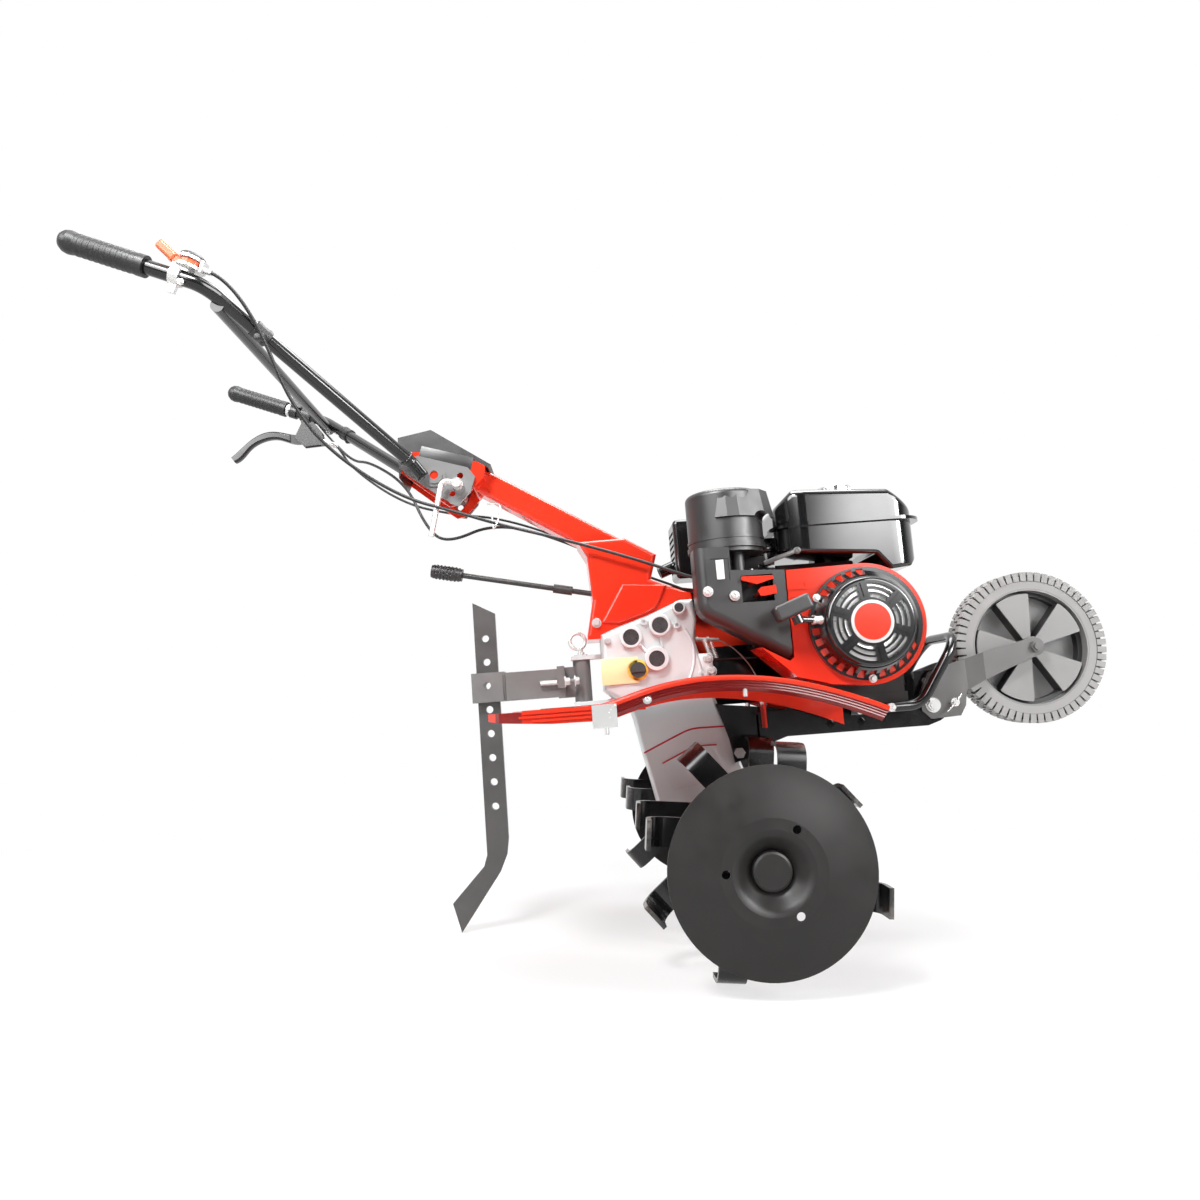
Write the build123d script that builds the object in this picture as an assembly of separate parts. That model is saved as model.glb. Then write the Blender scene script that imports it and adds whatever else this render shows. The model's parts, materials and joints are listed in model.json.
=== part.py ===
from build123d import *
import math
import os

# Garden tiller, in millimetres.
# Every piece is drawn in the machine's own frame: the origin is the middle of the tine axle, X points to
# the transport wheel, Y to the machine's left, Z up from the engine rails. The finished machine is then
# tilted nose-up the way it stands on its tines and drag stake.

# Stance
stand_tilt = 4.3
axle_height = 156.2
running_gap = 0.05
side_gap = 0.5

# Handlebar
tube_r = 10.5
grip_r = 15.5
grip_length = 112.0
grip_half_spread = 305.0
handle_pivot_x = -433.0
handle_pivot_z = 612.0
handle_pivot_r = 7.0
handle_plate_in = 51.0
handle_plate_t = 5.0
handle_hole_radius = 42.0
handle_hole_step = 22.7
handle_hole_mid = -26.6
lock_bolt_r = 5.0
clutch_pivot_x = -742.0
clutch_pivot_z = 803.0
clutch_pin_r = 4.0
shift_r = 4.5

# Frame
frame_half = 50.0
frame_wall = 4.0
frame_top = 190.0
frame_bottom = 148.0
frame_hole_r = 6.0
frame_hole_z = 162.5
frame_hole_xs = (176.5, 226.5)
bumper_r = 8.0
bumper_y = 73.0
bumper_bolt_xs = (217.0, 266.0)
bumper_bolt_z = 182.0
bumper_bolt_r = 4.0
leg_bolt_x = 28.0
leg_bolt_z = 127.0
leg_bolt_r = 5.0
side_plate_t = 6.0

# Handle column
arm_half = 25.0
pillar_half = 48.0
column_sheet = 3.0
column_round = 7.0

# Transport wheel
fork_pivot_x = 344.0
fork_pivot_z = 180.0
fork_bolt_r = 6.0
fork_pin_x = 379.0
fork_pin_z = 182.0
fork_pin_r = 4.0
fork_in = 50.5
fork_hub_in = 28.0
fork_t = 4.0
wheel_x = 535.0
wheel_z = 262.0
wheel_r = 126.0
rim_r = 98.0
tread_depth = 5.0
tread_blocks = 60
wheel_half = 20.0
wheel_axle_r = 6.0
wheel_hub_half = 24.0
rim_web_r = 90.0

# Gearbox and chain leg
case_half = 55.0
case_wall = 6.0
leg_half = 32.0
leg_wall = 4.0
boss_out = 66.0
plug_depth = 1.5
case_round = 8.0
leg_round = 4.0
breather_x = -52.6
breather_z = 366.0
breather_r = 7.5
oil_x = -126.0
oil_z = 271.0
oil_hole_r = 9.0
input_x = -85.5
input_z = 340.0
gear_module = 2.0
pinion_teeth = 15
wheel_teeth = 39
output_x = -94.7
counter_x = -133.4
counter_z = 324.0
bearing_r = 13.0
shaft_r = 7.5
small_sprocket_teeth = 10
large_sprocket_teeth = 28
chain_pitch = 12.7

# Tine rotor
hex_flat = 26.0
journal_r = 17.0
axle_bearing_r = 27.0
hub_r = 21.0
tine_reach = 157.0
tine_width = 38.0
tine_offset = 35.0
tine_t = 6.0
spider_ys = (101.0, 200.0, 300.0)
spider_angles = (-7.0, 39.0, -7.0)
hub_start = 45.0
hub_split = 250.0
hub_end = 345.0
disc_r = 131.5
disc_t = 2.5
disc_rim_y = 360.0
disc_crown_y = 372.0
disc_hole_r = 5.5
disc_hole_pcd = 120.0
disc_boss_r = 25.5

# Hitch
hitch_x = -215.0
hitch_pin_r = 6.0
hitch_tube_r = 14.5
hitch_low = 228.0
hitch_high = 296.0
stake_x = -371.0
stake_w = 36.0
stake_t = 12.0
stake_pitch = 39.1
stake_hole_r = 6.0
stake_hole_top = 343.4

# Engine
crank_x = 215.0
crank_z = 310.0
crank_r = 15.0
cylinder_slope = 25.0
bore_r = 34.0
belt_y0 = 84.0
belt_y1 = 97.0
engine_pulley_r = 36.0
input_pulley_r = 58.0
idler_pivot_x = 156.0
idler_pivot_z = 345.0
idler_x = 100.0
idler_z = 302.0
idler_r = 16.8
groove_depth = 8.0
belt_seat = 0.3
belt_proud = 1.5
belt_side = 1.5
recoil_x = 216.0
recoil_z = 312.5
recoil_r = 86.0
recoil_face_r = 67.0
recoil_base_y = -150.0
recoil_face_y = -188.0
recoil_slot = 5.2
badge_r = 32.0
blower_x = 219.0
blower_r = 93.0
blower_y = -150.0
blower_sheet = 3.0
tank_x = 221.0
tank_y = -24.0
tank_length = 222.0
tank_width = 184.0
tank_corner = 45.0
tank_seam_z = 478.0
tank_cap_x = 225.0
tank_cap_y = -38.0
tank_cap_r = 28.5
tank_neck_r = 20.0
cleaner_x = 28.0
cleaner_y = -90.0
cleaner_r = 59.5
cleaner_wall = 3.5
cleaner_low = 446.0
cleaner_high = 539.0
elbow_y = -149.0
elbow_wall = 3.0
choke_x = 58.0
choke_z = 390.0
fuel_x = 66.0
fuel_z = 372.0
lever_pin_r = 3.0
cable_r = 2.6
wire_r = 2.2

pull_eye = Vector(107, -184, 323.5)
pull_dir = Vector(-0.34, 0, 0.94).normalized()


def box(x0, x1, y0, y1, z0, z1):
    return Pos((x0 + x1) / 2, (y0 + y1) / 2, (z0 + z1) / 2) * Box(x1 - x0, y1 - y0, z1 - z0)


def cyl_y(x, z, r, y0, y1):
    return Pos(x, (y0 + y1) / 2, z) * Rot(90, 0, 0) * Cylinder(r, abs(y1 - y0))


def cyl_z(x, y, r, z0, z1):
    return Pos(x, y, (z0 + z1) / 2) * Cylinder(r, z1 - z0)


def slab(points, y0, y1):
    wire = Polyline(*[(x, y1, z) for x, z in points], close=True)
    return extrude(make_face(wire), amount=y1 - y0, dir=(0, -1, 0))


def curve_slab(top, low, y0, y1):
    a = Spline(*[(x, y1, z) for x, z in top])
    b = Spline(*[(x, y1, z) for x, z in low])
    face = make_face([a, b, Line(a @ 0, b @ 0), Line(a @ 1, b @ 1)])
    return extrude(face, amount=y1 - y0, dir=(0, -1, 0))


def rod(a, b, r):
    v = Vector(*b) - Vector(*a)
    mid = (Vector(*a) + Vector(*b)) * 0.5
    return Plane(origin=mid, z_dir=v) * Cylinder(r, v.length)


def tube(points, radii, r):
    path = FilletPolyline(*points, radius=radii)
    return sweep(Plane(origin=path @ 0, z_dir=path % 0) * Circle(r), path=path)


def hex_y(x, z, flat, y0, y1):
    r = flat / 2 / math.cos(math.pi / 6)
    pts = [(x + r * math.cos(k * math.pi / 3), z + r * math.sin(k * math.pi / 3)) for k in range(6)]
    return slab(pts, y0, y1)


def inset(points, d):
    area = sum(a[0] * b[1] - b[0] * a[1] for a, b in zip(points, points[1:] + points[:1]))
    sign = 1 if area > 0 else -1
    lines = []
    for a, b in zip(points, points[1:] + points[:1]):
        ux, uz = b[0] - a[0], b[1] - a[1]
        n = math.hypot(ux, uz)
        ux, uz = ux / n, uz / n
        lines.append((a[0] - sign * uz * d, a[1] + sign * ux * d, ux, uz))
    out = []
    for p, q in zip(lines[-1:] + lines[:-1], lines):
        det = p[2] * q[3] - p[3] * q[2]
        t = ((q[0] - p[0]) * q[3] - (q[1] - p[1]) * q[2]) / det
        out.append((p[0] + t * p[2], p[1] + t * p[3]))
    return out


def loop_points(x1, z1, r1, x2, z2, r2, steps=28):
    base = math.atan2(z2 - z1, x2 - x1)
    half = math.acos((r1 - r2) / math.hypot(x2 - x1, z2 - z1))
    pts = []
    for k in range(steps + 1):
        a = base + half + (2 * math.pi - 2 * half) * k / steps
        pts.append((x1 + r1 * math.cos(a), z1 + r1 * math.sin(a)))
    for k in range(steps + 1):
        a = base - half + 2 * half * k / steps
        pts.append((x2 + r2 * math.cos(a), z2 + r2 * math.sin(a)))
    return pts


def gear_points(x, z, teeth, module, aim, gap_first):
    rp = module * teeth / 2
    rb = rp * math.cos(math.radians(20))
    ra = rp + 0.9 * module
    rf = rp - 1.2 * module
    inv = lambda r: math.tan(math.acos(min(1, rb / r))) - math.acos(min(1, rb / r))
    half = math.pi / (2 * teeth) - 0.25 / rp
    radii = [max(rb, rf) + (ra - max(rb, rf)) * k / 4 for k in range(5)]
    side = [(rf, half + inv(rp) + 0.01)] + [(r, half + inv(rp) - inv(r)) for r in radii]
    pts = []
    for k in range(teeth):
        a = aim + 2 * math.pi * (k + (0.5 if gap_first else 0)) / teeth
        pts += [(x + r * math.cos(a - h), z + r * math.sin(a - h)) for r, h in side]
        pts += [(x + r * math.cos(a + h), z + r * math.sin(a + h)) for r, h in reversed(side)]
    return pts


def toothed_points(x, z, r_low, r_high, teeth, turn=0.0, duty=0.55, foot=1.15, crown=0.8):
    pts = []
    for k in range(teeth):
        a = turn + 2 * math.pi * k / teeth
        w = math.pi * duty / teeth
        g = math.pi / teeth
        corners = ((r_low, -g), (r_low, -w * foot), (r_high, -w * crown), (r_high, w * crown),
                   (r_low, w * foot))
        for r, s in corners:
            pts.append((x + r * math.cos(a + s), z + r * math.sin(a + s)))
    return pts


def sector(x, z, r0, r1, a0, a1, y0, y1, steps=8):
    ang = [math.radians(a0 + (a1 - a0) * k / steps) for k in range(steps + 1)]
    pts = [(x + r1 * math.cos(a), z + r1 * math.sin(a)) for a in ang]
    pts += [(x + r0 * math.cos(a), z + r0 * math.sin(a)) for a in reversed(ang)]
    return slab(pts, y0, y1)


def turn_xz(p, x, z, angle):
    return Pos(x, 0, z) * Rot(0, -angle, 0) * Pos(-x, 0, -z) * p


def turned(points, origin, direction):
    face = make_face(Polyline(*[(r, 0, d) for r, d in points], close=True))
    return Plane(origin=origin, z_dir=direction) * revolve(face, Axis.Z)


def round_sides(p, r, near, far, keep):
    faces = p.faces().sort_by(Axis.Y)
    picked = ([faces[0]] if near else []) + ([faces[-1]] if far else [])
    return fillet([e for f in picked for e in f.edges() if keep(e.center())], r)


def flip(p):
    return mirror(p, about=Plane.XZ)


def both(p):
    return Compound(children=[p, flip(p)])


# Outlines and lines shared by neighbouring pieces
shift_end = Vector(-454, 0, 463.5)
shift_dir = Vector(265, 0, -57.5).normalized()


def on_shift(d):
    return tuple(shift_end + shift_dir * d)


case_top = [(-181, 332), (-181, 243), (-150, 214), (-140, 208), (-2, 208), (-18, 262), (-30, 313),
            (-24, 345), (-28, 380), (-48, 380), (-105, 358), (-153, 343)]
leg_top = [(-140, 208), (-135, 192), (-125, 138), (-48, 172), (11, 171), (-2, 208)]
leg_low = [(-125, 138), (-48, 172), (11, 171), (39, 86), (68, 10), (66, -30), (42, -66), (0, -80),
           (-45, -74), (-80, -48), (-97, 0), (-112, 78)]
yoke_line = [(-488, 622), (-470, 655), (-420, 655), (-362, 632)]
gear_reach = gear_module * (pinion_teeth + wheel_teeth) / 2
output_z = input_z - math.sqrt(gear_reach ** 2 - (input_x - output_x) ** 2)
small_rp = chain_pitch / 2 / math.sin(math.pi / small_sprocket_teeth)
large_rp = chain_pitch / 2 / math.sin(math.pi / large_sprocket_teeth)
lock_a = math.radians(handle_hole_mid)
lock_x = handle_pivot_x + handle_hole_radius * math.cos(lock_a)
lock_z = handle_pivot_z + handle_hole_radius * math.sin(lock_a)


def make_main_frame():
    nose = [(fork_pivot_x + 28 * math.cos(math.radians(a)), fork_pivot_z + 28 * math.sin(math.radians(a)))
            for a in range(-80, 61, 14)]
    side = [(62, frame_bottom), (335, frame_bottom)] + nose
    side += [(352, 236), (322, 236), (316, frame_top), (62, frame_top)]
    p = slab(side, frame_half - frame_wall, frame_half) + slab(side, -frame_half, frame_wall - frame_half)
    p += box(55, 330, -frame_half, frame_half, frame_top - frame_wall, frame_top)
    p += box(62, 110, -frame_half, frame_half, frame_bottom, frame_bottom + frame_wall)
    rear = [(-3, 207), (85, 196), (110, frame_top), (110, frame_bottom), (85, 140), (60, 122), (20, 112),
            (14, 150)]
    p += slab(rear, leg_half, leg_half + side_plate_t) + slab(rear, -leg_half - side_plate_t, -leg_half)
    for x in frame_hole_xs:
        p -= cyl_y(x, frame_hole_z, frame_hole_r, -60, 60)
    p -= cyl_y(337, 220, 5, -60, 60)
    p -= cyl_y(fork_pivot_x, fork_pivot_z, fork_bolt_r, -60, 60)
    p -= cyl_y(leg_bolt_x, leg_bolt_z, leg_bolt_r, -60, 60)
    for x in bumper_bolt_xs:
        p -= cyl_y(x, bumper_bolt_z, bumper_bolt_r, -60, 60)
    return p


def make_bumper():
    y = bumper_y
    z = bumper_bolt_z
    p = tube([(203, -y, z), (318, -y, z), (390, -y, 288), (390, y, 288), (318, y, z), (203, y, z)],
             [38, 40, 40, 38], bumper_r)
    for s in (-1, 1):
        for x in bumper_bolt_xs:
            p += cyl_y(x, z, 7, s * frame_half, s * (y - 4))
    for x in bumper_bolt_xs:
        p -= cyl_y(x, z, bumper_bolt_r, -90, 90)
    return p


def make_case(s):
    case = round_sides(slab(case_top, 0, case_half), case_round, False, True, lambda c: c.Z > 209)
    leg = round_sides(slab(leg_top, 0, leg_half), leg_round, False, True, lambda c: c.X < -126 or c.X > 3)
    p = case + leg
    p -= slab(inset(case_top, case_wall), -1, case_half - case_wall)
    hole = [(-132, 222), (-129, 192), (-115, 128), (-48, 158), (8, 158), (3, 175), (-8, 206), (-10, 222)]
    p -= slab(hole, -1, leg_half - leg_wall)
    seats = [(input_x, input_z, 18), (output_x, output_z, 20), (counter_x, counter_z, 18),
             (breather_x, breather_z, 11)]
    for x, z, r in seats:
        ring = cyl_y(x, z, r, case_half - case_wall, boss_out)
        p += fillet(ring.edges().sort_by(Axis.Y)[-1], 2)
    p += box(-87, -83, case_half, case_half + 4, output_z + 18, input_z - 16)
    rib_y = case_half - 1
    p += rod((counter_x + 12, rib_y, counter_z - 10), (output_x - 15, rib_y, output_z + 12), 4)
    for x, z in ((-111, 348), (-58, 339), (-24, 256)):
        p += cyl_y(x, z, 6, case_half - 4, case_half + 5) - cyl_y(x, z, 2.5, case_half, case_half + 6)
    for x, z in ((input_x, input_z), (output_x, output_z)):
        p -= cyl_y(x, z, bearing_r, 20, 60)
    if s < 0:
        for x, z in ((input_x, input_z), (output_x, output_z), (counter_x, counter_z)):
            p -= cyl_y(x, z, bearing_r, 60, boss_out + 1)
        p -= cyl_y(breather_x, breather_z, breather_r, 60, boss_out + 1)
        p += cyl_y(oil_x, oil_z, 16, case_half - case_wall, case_half + 4)
        p -= cyl_y(oil_x, oil_z, oil_hole_r, 30, 70)
    else:
        p -= cyl_y(input_x, input_z, 9, 20, boss_out + 1)
    p += box(-232, -158, 0, 17, hitch_low - 6.4, hitch_low - 0.4)
    p += box(-232, -178, 0, 17, hitch_high + 0.4, hitch_high + 7)
    p -= cyl_z(hitch_x, 0, hitch_pin_r + running_gap, 200, 320)
    return p if s > 0 else flip(p)


def make_chain_half():
    p = round_sides(slab(leg_low, 0, leg_half), leg_round, False, True, lambda c: c.Z < 130)
    body = inset(leg_low, leg_wall)
    body = [(-122, 150), (-48, 185), (7, 184)] + body[3:]
    p -= slab(body, -1, leg_half - leg_wall)
    pad = [(-98, 118), (-45, 142), (-6, 142), (14, 84), (-84, 66)]
    p += slab(pad, leg_half, leg_half + 2.5) - slab(inset(pad, 7), leg_half - 1, leg_half + 4)
    p += cyl_y(0, 0, 36, leg_half - 12, leg_half + 4)
    p -= cyl_y(0, 0, axle_bearing_r, -1, leg_half + 6)
    p += cyl_y(leg_bolt_x, leg_bolt_z, 11, leg_half - 5, leg_half)
    p -= cyl_y(leg_bolt_x, leg_bolt_z, leg_bolt_r, -5, 60)
    return p


def make_plugs():
    group = [cyl_y(x, z, bearing_r, plug_depth - boss_out, -62) for x, z in
             ((input_x, input_z), (output_x, output_z), (counter_x, counter_z))]
    group.append(cyl_y(breather_x, breather_z, breather_r, plug_depth - boss_out, -62))
    return Compound(children=group)


def make_column():
    arm = [(-362, 632), (-80, 458), (-96, 430), (-170, 440), (-208, 488), (-370, 590)]
    pillar = [(-208, 488), (-194, 462), (-190, 390), (-202, 334), (-202, 326), (-181, 332), (-153, 343),
              (-105, 358), (-48, 380), (-28, 380), (-30, 391), (-57, 402), (-92, 418), (-80, 458),
              (-130, 489)]
    p = slab(pillar, -pillar_half, pillar_half)
    p = round_sides(p, column_round, True, True, lambda c: c.Z > 400 or (c.X < -189 and c.Z > 340))
    beam = slab(arm, -arm_half, arm_half)
    p += round_sides(beam, column_round, True, True, lambda c: c.Z > 500 and c.X > -350)
    low = inset(pillar, column_sheet)
    open_foot = [(-191, 334), (-185, 322), (-153, 333), (-105, 348), (-48, 370), (-40, 371), (-42, 388)]
    low = low[:3] + open_foot + low[11:]
    p -= slab(low, column_sheet - pillar_half, pillar_half - column_sheet)
    p -= slab(inset(arm, column_sheet), column_sheet - arm_half, arm_half - column_sheet)
    p += box(-202, -181, -pillar_half, pillar_half, 326, 332)
    p += slab([(-62, 374.6), (-48, 380), (-28, 380), (-30, 391), (-62, 396)], -pillar_half, pillar_half)
    bulge = [(-178, 352), (-140, 412), (-68, 406), (-88, 370), (-108, 361), (-150, 349)]
    raised = round_sides(slab(bulge, -pillar_half - 5, 1 - pillar_half), 3.5, True, False, lambda c: True)
    p += raised
    p += flip(raised)
    yoke = yoke_line + [(-356, 614), (-372, 588), (-397, 562), (-412, 560), (-450, 590)]
    for s in (-1, 1):
        p += slab(yoke, min(s * 44, s * frame_half), max(s * 44, s * frame_half))
    yoke_back = [(-372, 635.9), (-362, 632), (-350, 624), (-353, 606), (-371, 589), (-376, 594)]
    p += slab(yoke_back, -frame_half, frame_half)
    slot = sector(handle_pivot_x, handle_pivot_z, handle_hole_radius - lock_bolt_r - 0.8,
                  handle_hole_radius + lock_bolt_r + 0.8, handle_hole_mid - handle_hole_step - 9,
                  handle_hole_mid + handle_hole_step + 9, -60, 60)
    p -= slot
    p += cyl_y(handle_pivot_x, handle_pivot_z, handle_pivot_r, -58, 58)
    p -= rod(on_shift(200), on_shift(340), shift_r + running_gap)
    return p


def make_dash():
    out = [(-492, 614)] + yoke_line + [(-345, 621.6), (-341, 627), (-436, 692), (-491, 682)]
    p = slab(out, -47, 47)
    p -= slab([(-487, 600), (-487, 679), (-437, 688), (-354, 632), (-362, 600)], -43.9, 43.9)
    return p


def fender_line():
    return [(-196, 219), (-166, 226.5), (-142, 233.5), (-100, 242.5), (-60, 246.5), (-19, 246), (21, 242),
            (75, 231), (121, 217), (190, 189)]


lip_section = [(-291.5, -1.2), (-292.6, 0.9), (-295, 1.8), (-297.6, 1.2), (-299, -1), (-299, -3.6),
               (-297.4, -5.2), (-294.8, -6.2), (-295.4, -8.2), (-292.6, -9.8), (-293.2, -11.8),
               (-290.4, -13.4), (-290.8, -15.2), (-287, -18.6), (-285.6, -20), (-284.2, -19),
               (-288.4, -13.8), (-291, -8.6), (-293, -4.6), (-294.4, -2.8)]


def make_fender():
    top = fender_line()
    under = lambda d: [(x, z - d) for x, z in top]
    p = curve_slab(top, under(2.2), -295, -78)
    path = Spline(*[(x, 0, z) for x, z in top])
    start = Plane(origin=path @ 0, x_dir=(0, 1, 0), z_dir=path % 0)
    p += sweep(start * make_face(Polyline(*lip_section, close=True)), path=path)
    p += curve_slab(top, under(28), -80, -78)
    for y in (-268, -236):
        p += curve_slab(under(-2.5), under(2.2), y - 4, y + 4)
    p += box(66, 96, -79, -frame_half, 205, 209) + box(66, 69, -79, -frame_half, 165, 209)
    p += box(-150, -120, -79, -case_half, 208, 213)
    tail = [(-196, -297), (-300, -297), (-332, -290), (-348, -268), (-345, -150), (-318, -105), (-196, -100)]
    plate = lambda points, z0, z1: extrude(make_face(Polyline(*[(x, y, z0) for x, y in points], close=True)),
                                           amount=z1 - z0, dir=(0, 0, 1))
    t = plate(tail, 216.8, 219)
    side = [(-196, 219), (-360, 219), (-360, 211), (-330, 206), (-300, 203.5), (-262, 200.5), (-196, 199.5)]
    t += (plate(tail, 190, 219) - plate(inset(tail, 2.2), 180, 230)) & slab(side, -320, -160)
    t += box(-300, -196, -299, -295, 215.4, 220.6)
    for z0, z1, x in ((213, 210, -305), (207.5, 204.5, -288)):
        t += slab([(-196, z0), (x, z0), (x, z1), (-196, z1)], -298.8, -296.5)
    return Compound(children=[p, t])


def make_guard():
    out = loop_points(crank_x, crank_z, 62, input_x, input_z, 84)
    p = slab(out, 76, 118) - slab(inset(out, 3), 70, 115)
    for x, z in ((-142.8, 299.9), (-155.2, 333.9)):
        p += cyl_y(x, z, 5, case_half, 115.5)
    for x, z in ((241, 265), (241, 355)):
        p += cyl_y(x, z, 5, 72, 115.5)
    return p


def engine_plane(d):
    a = math.radians(cylinder_slope)
    return Plane(origin=(crank_x - d * math.cos(a), 5, crank_z + d * math.sin(a)), x_dir=(0, 1, 0),
                 z_dir=(-math.cos(a), 0, math.sin(a)))


def make_block():
    shape = [(140, 204), (298, 204), (302, 262), (296, 360), (258, 398), (192, 398), (140, 372)]
    p = slab(shape, -62, 72) + box(132, 302, -64, 64, frame_top, 206)
    for d in range(80, 148, 10):
        p += engine_plane(d) * Box(102, 96, 3.2)
    p += engine_plane(108) * Cylinder(bore_r + 8, 84)
    p -= slab(inset(shape, 8), -54, 64)
    p -= engine_plane(108) * Cylinder(bore_r, 100)
    p -= cyl_y(crank_x, crank_z, crank_r + running_gap, -90, 90)
    p += cyl_y(idler_pivot_x, idler_pivot_z, 5, 70, 82)
    return p


def make_head():
    p = engine_plane(171) * Box(92, 86, 42)
    p += engine_plane(200) * Box(70, 62, 18)
    for d in (160, 172, 184):
        p += engine_plane(d) * Box(98, 92, 3)
    p += cyl_y(46, 395, 10, 46, 56) + cyl_y(58, 386, 17, -46, -36)
    return p


def make_blower():
    side = [(56, 289), (98, 264.5), (105, 270), (105, 403), (215, 405), (240, 312), (215, 220), (160, 225),
            (107, 240)]
    inner_y = blower_y + blower_sheet
    p = slab(side, blower_y, -62) + cyl_y(blower_x, recoil_z, blower_r, blower_y, -62)
    p -= slab(inset(side, blower_sheet), inner_y, -50)
    p -= cyl_y(blower_x, recoil_z, blower_r - blower_sheet, inner_y, -50)
    p -= cyl_y(recoil_x, recoil_z, recoil_face_r - 3, blower_y - 10, blower_y + 10)
    for z in (372, 350):
        frame = box(104, 134, blower_y - 2, blower_y + 1, z, z + 13)
        p += frame - box(107, 131, blower_y - 3, blower_y - 1, z + 3, z + 10)
    return p


def make_recoil():
    shade = recoil_base_y - 10
    p = cyl_y(recoil_x, recoil_z, recoil_r, shade, recoil_base_y)
    p += Pos(recoil_x, shade - 10, recoil_z) * Rot(90, 0, 0) * Cone(recoil_r - 6, recoil_face_r + 2, 20)
    p += cyl_y(recoil_x, recoil_z, recoil_face_r, recoil_face_y, shade - 15)
    p = fillet(p.edges().sort_by(Axis.Y)[0], 5)
    p -= cyl_y(recoil_x, recoil_z, recoil_face_r - 4, recoil_face_y + 4, recoil_base_y + 10)
    p += cyl_y(recoil_x, recoil_z, badge_r, recoil_face_y - 2, recoil_face_y + 2)
    for k in range(6):
        mid = 10 + 60 * k
        for r, half in ((36, 19), (44.5, 21), (53, 22)):
            a0, a1 = mid - half, mid + half
            p -= sector(recoil_x, recoil_z, r, r + recoil_slot, a0, a1, recoil_face_y - 7, recoil_face_y + 8)
        p += sector(recoil_x, recoil_z, 38, 60, mid + 27.5, mid + 32.5, recoil_face_y - 2, recoil_face_y + 1)
    for a in [170 + 12 * k for k in range(14)] + [88 + 12 * k for k in range(5)]:
        p -= sector(recoil_x, recoil_z, recoil_face_r + 5, recoil_r - 3, a, a + 7.5, recoil_face_y,
                    recoil_base_y + 1)
    p += rod((recoil_x - 48, -166, recoil_z + 7), tuple(pull_eye), 5)
    p += Plane(origin=pull_eye, z_dir=pull_dir) * Cylinder(8, 12)
    return p


def make_pull():
    bar = Plane(origin=pull_eye + pull_dir * 18.7, x_dir=(pull_dir.Z, 0, -pull_dir.X), z_dir=pull_dir)
    return bar * fillet(Box(58, 26, 24).edges(), 5)


def make_tank():
    plan = Pos(tank_x, tank_y, tank_seam_z) * Box(tank_length, tank_width, 200)
    plan = fillet(plan.edges().filter_by(Axis.Z), tank_corner)
    low = [(100, tank_seam_z), (100, 441), (150, 433), (259, 424), (280, 398), (316, 402), (345, 430),
           (345, tank_seam_z)]
    high = [(100, tank_seam_z), (100, 502), (137, 536.5), (289, 528), (313, 509), (345, 484),
            (345, tank_seam_z)]
    y0, y1 = tank_y - tank_width / 2 - 1, tank_y + tank_width / 2 + 1
    under = slab(low, y0, y1) & plan
    under = fillet(under.edges().filter_by(lambda e: e.center().Z < 445 and e.bounding_box().max.Z < 462), 6)
    over = slab(high, y0, y1) & plan
    over = fillet(over.edges().filter_by(lambda e: e.center().Z > 490 and e.bounding_box().min.Z > 481), 13)
    seam = Pos(tank_x + 2, tank_y, tank_seam_z) * Box(tank_length + 18, tank_width + 16, 5)
    p = under + over + fillet(seam.edges().filter_by(Axis.Z), tank_corner + 6)
    room = Pos(tank_x - 4, tank_y, tank_seam_z - 8) * Box(tank_length - 56, tank_width - 24, 60)
    p -= fillet(room.edges().filter_by(Axis.Z), tank_corner - 8)
    p += cyl_z(tank_cap_x, tank_cap_y, tank_neck_r + 4, 518, 534)
    p -= cyl_z(tank_cap_x, tank_cap_y, tank_neck_r, 490, 540)
    for x in (206, 246):
        p += box(x - 10, x + 10, 20, 60, 398, 440)
    return p


def make_cap():
    p = cyl_z(tank_cap_x, tank_cap_y, tank_cap_r, 534, 551)
    p = fillet(p.edges().sort_by(Axis.Z)[-1], 4)
    p += cyl_z(tank_cap_x, tank_cap_y, tank_neck_r - 0.5, 520, 535)
    for k in range(24):
        a = math.radians(15 * k)
        reach = tank_cap_r + 0.7
        p -= cyl_z(tank_cap_x + reach * math.cos(a), tank_cap_y + reach * math.sin(a), 1.4, 533, 546)
    return p


def make_carb():
    p = box(34, 84, -96, -62, 364, 408) + cyl_z(60, -78, 16, 338, 366)
    p += cyl_y(58, 386, 14, -63, -50) + cyl_y(58, 386, 17, -51, -46)
    for x, z in ((choke_x, choke_z), (fuel_x, fuel_z)):
        p -= cyl_y(x, z, lever_pin_r + running_gap, -120, -80)
    return p


def make_choke():
    p = cyl_y(choke_x, choke_z, lever_pin_r, -156, -82)
    x, z = choke_x, choke_z
    p += slab([(x - 24, z + 2), (x - 22, z + 7), (x + 24, z + 6), (x + 26, z + 1), (x, z - 6)], -156, -151)
    return p


def make_fuel():
    p = cyl_y(fuel_x, fuel_z, lever_pin_r, -156, -82)
    x, z = fuel_x, fuel_z
    paddle = [(x - 8, z + 2), (x - 2, z + 7), (x + 20, z + 9), (x + 21, z - 4), (x + 6, z - 6),
              (x - 4, z - 6)]
    return p + slab(paddle, -156, -151)


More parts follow.
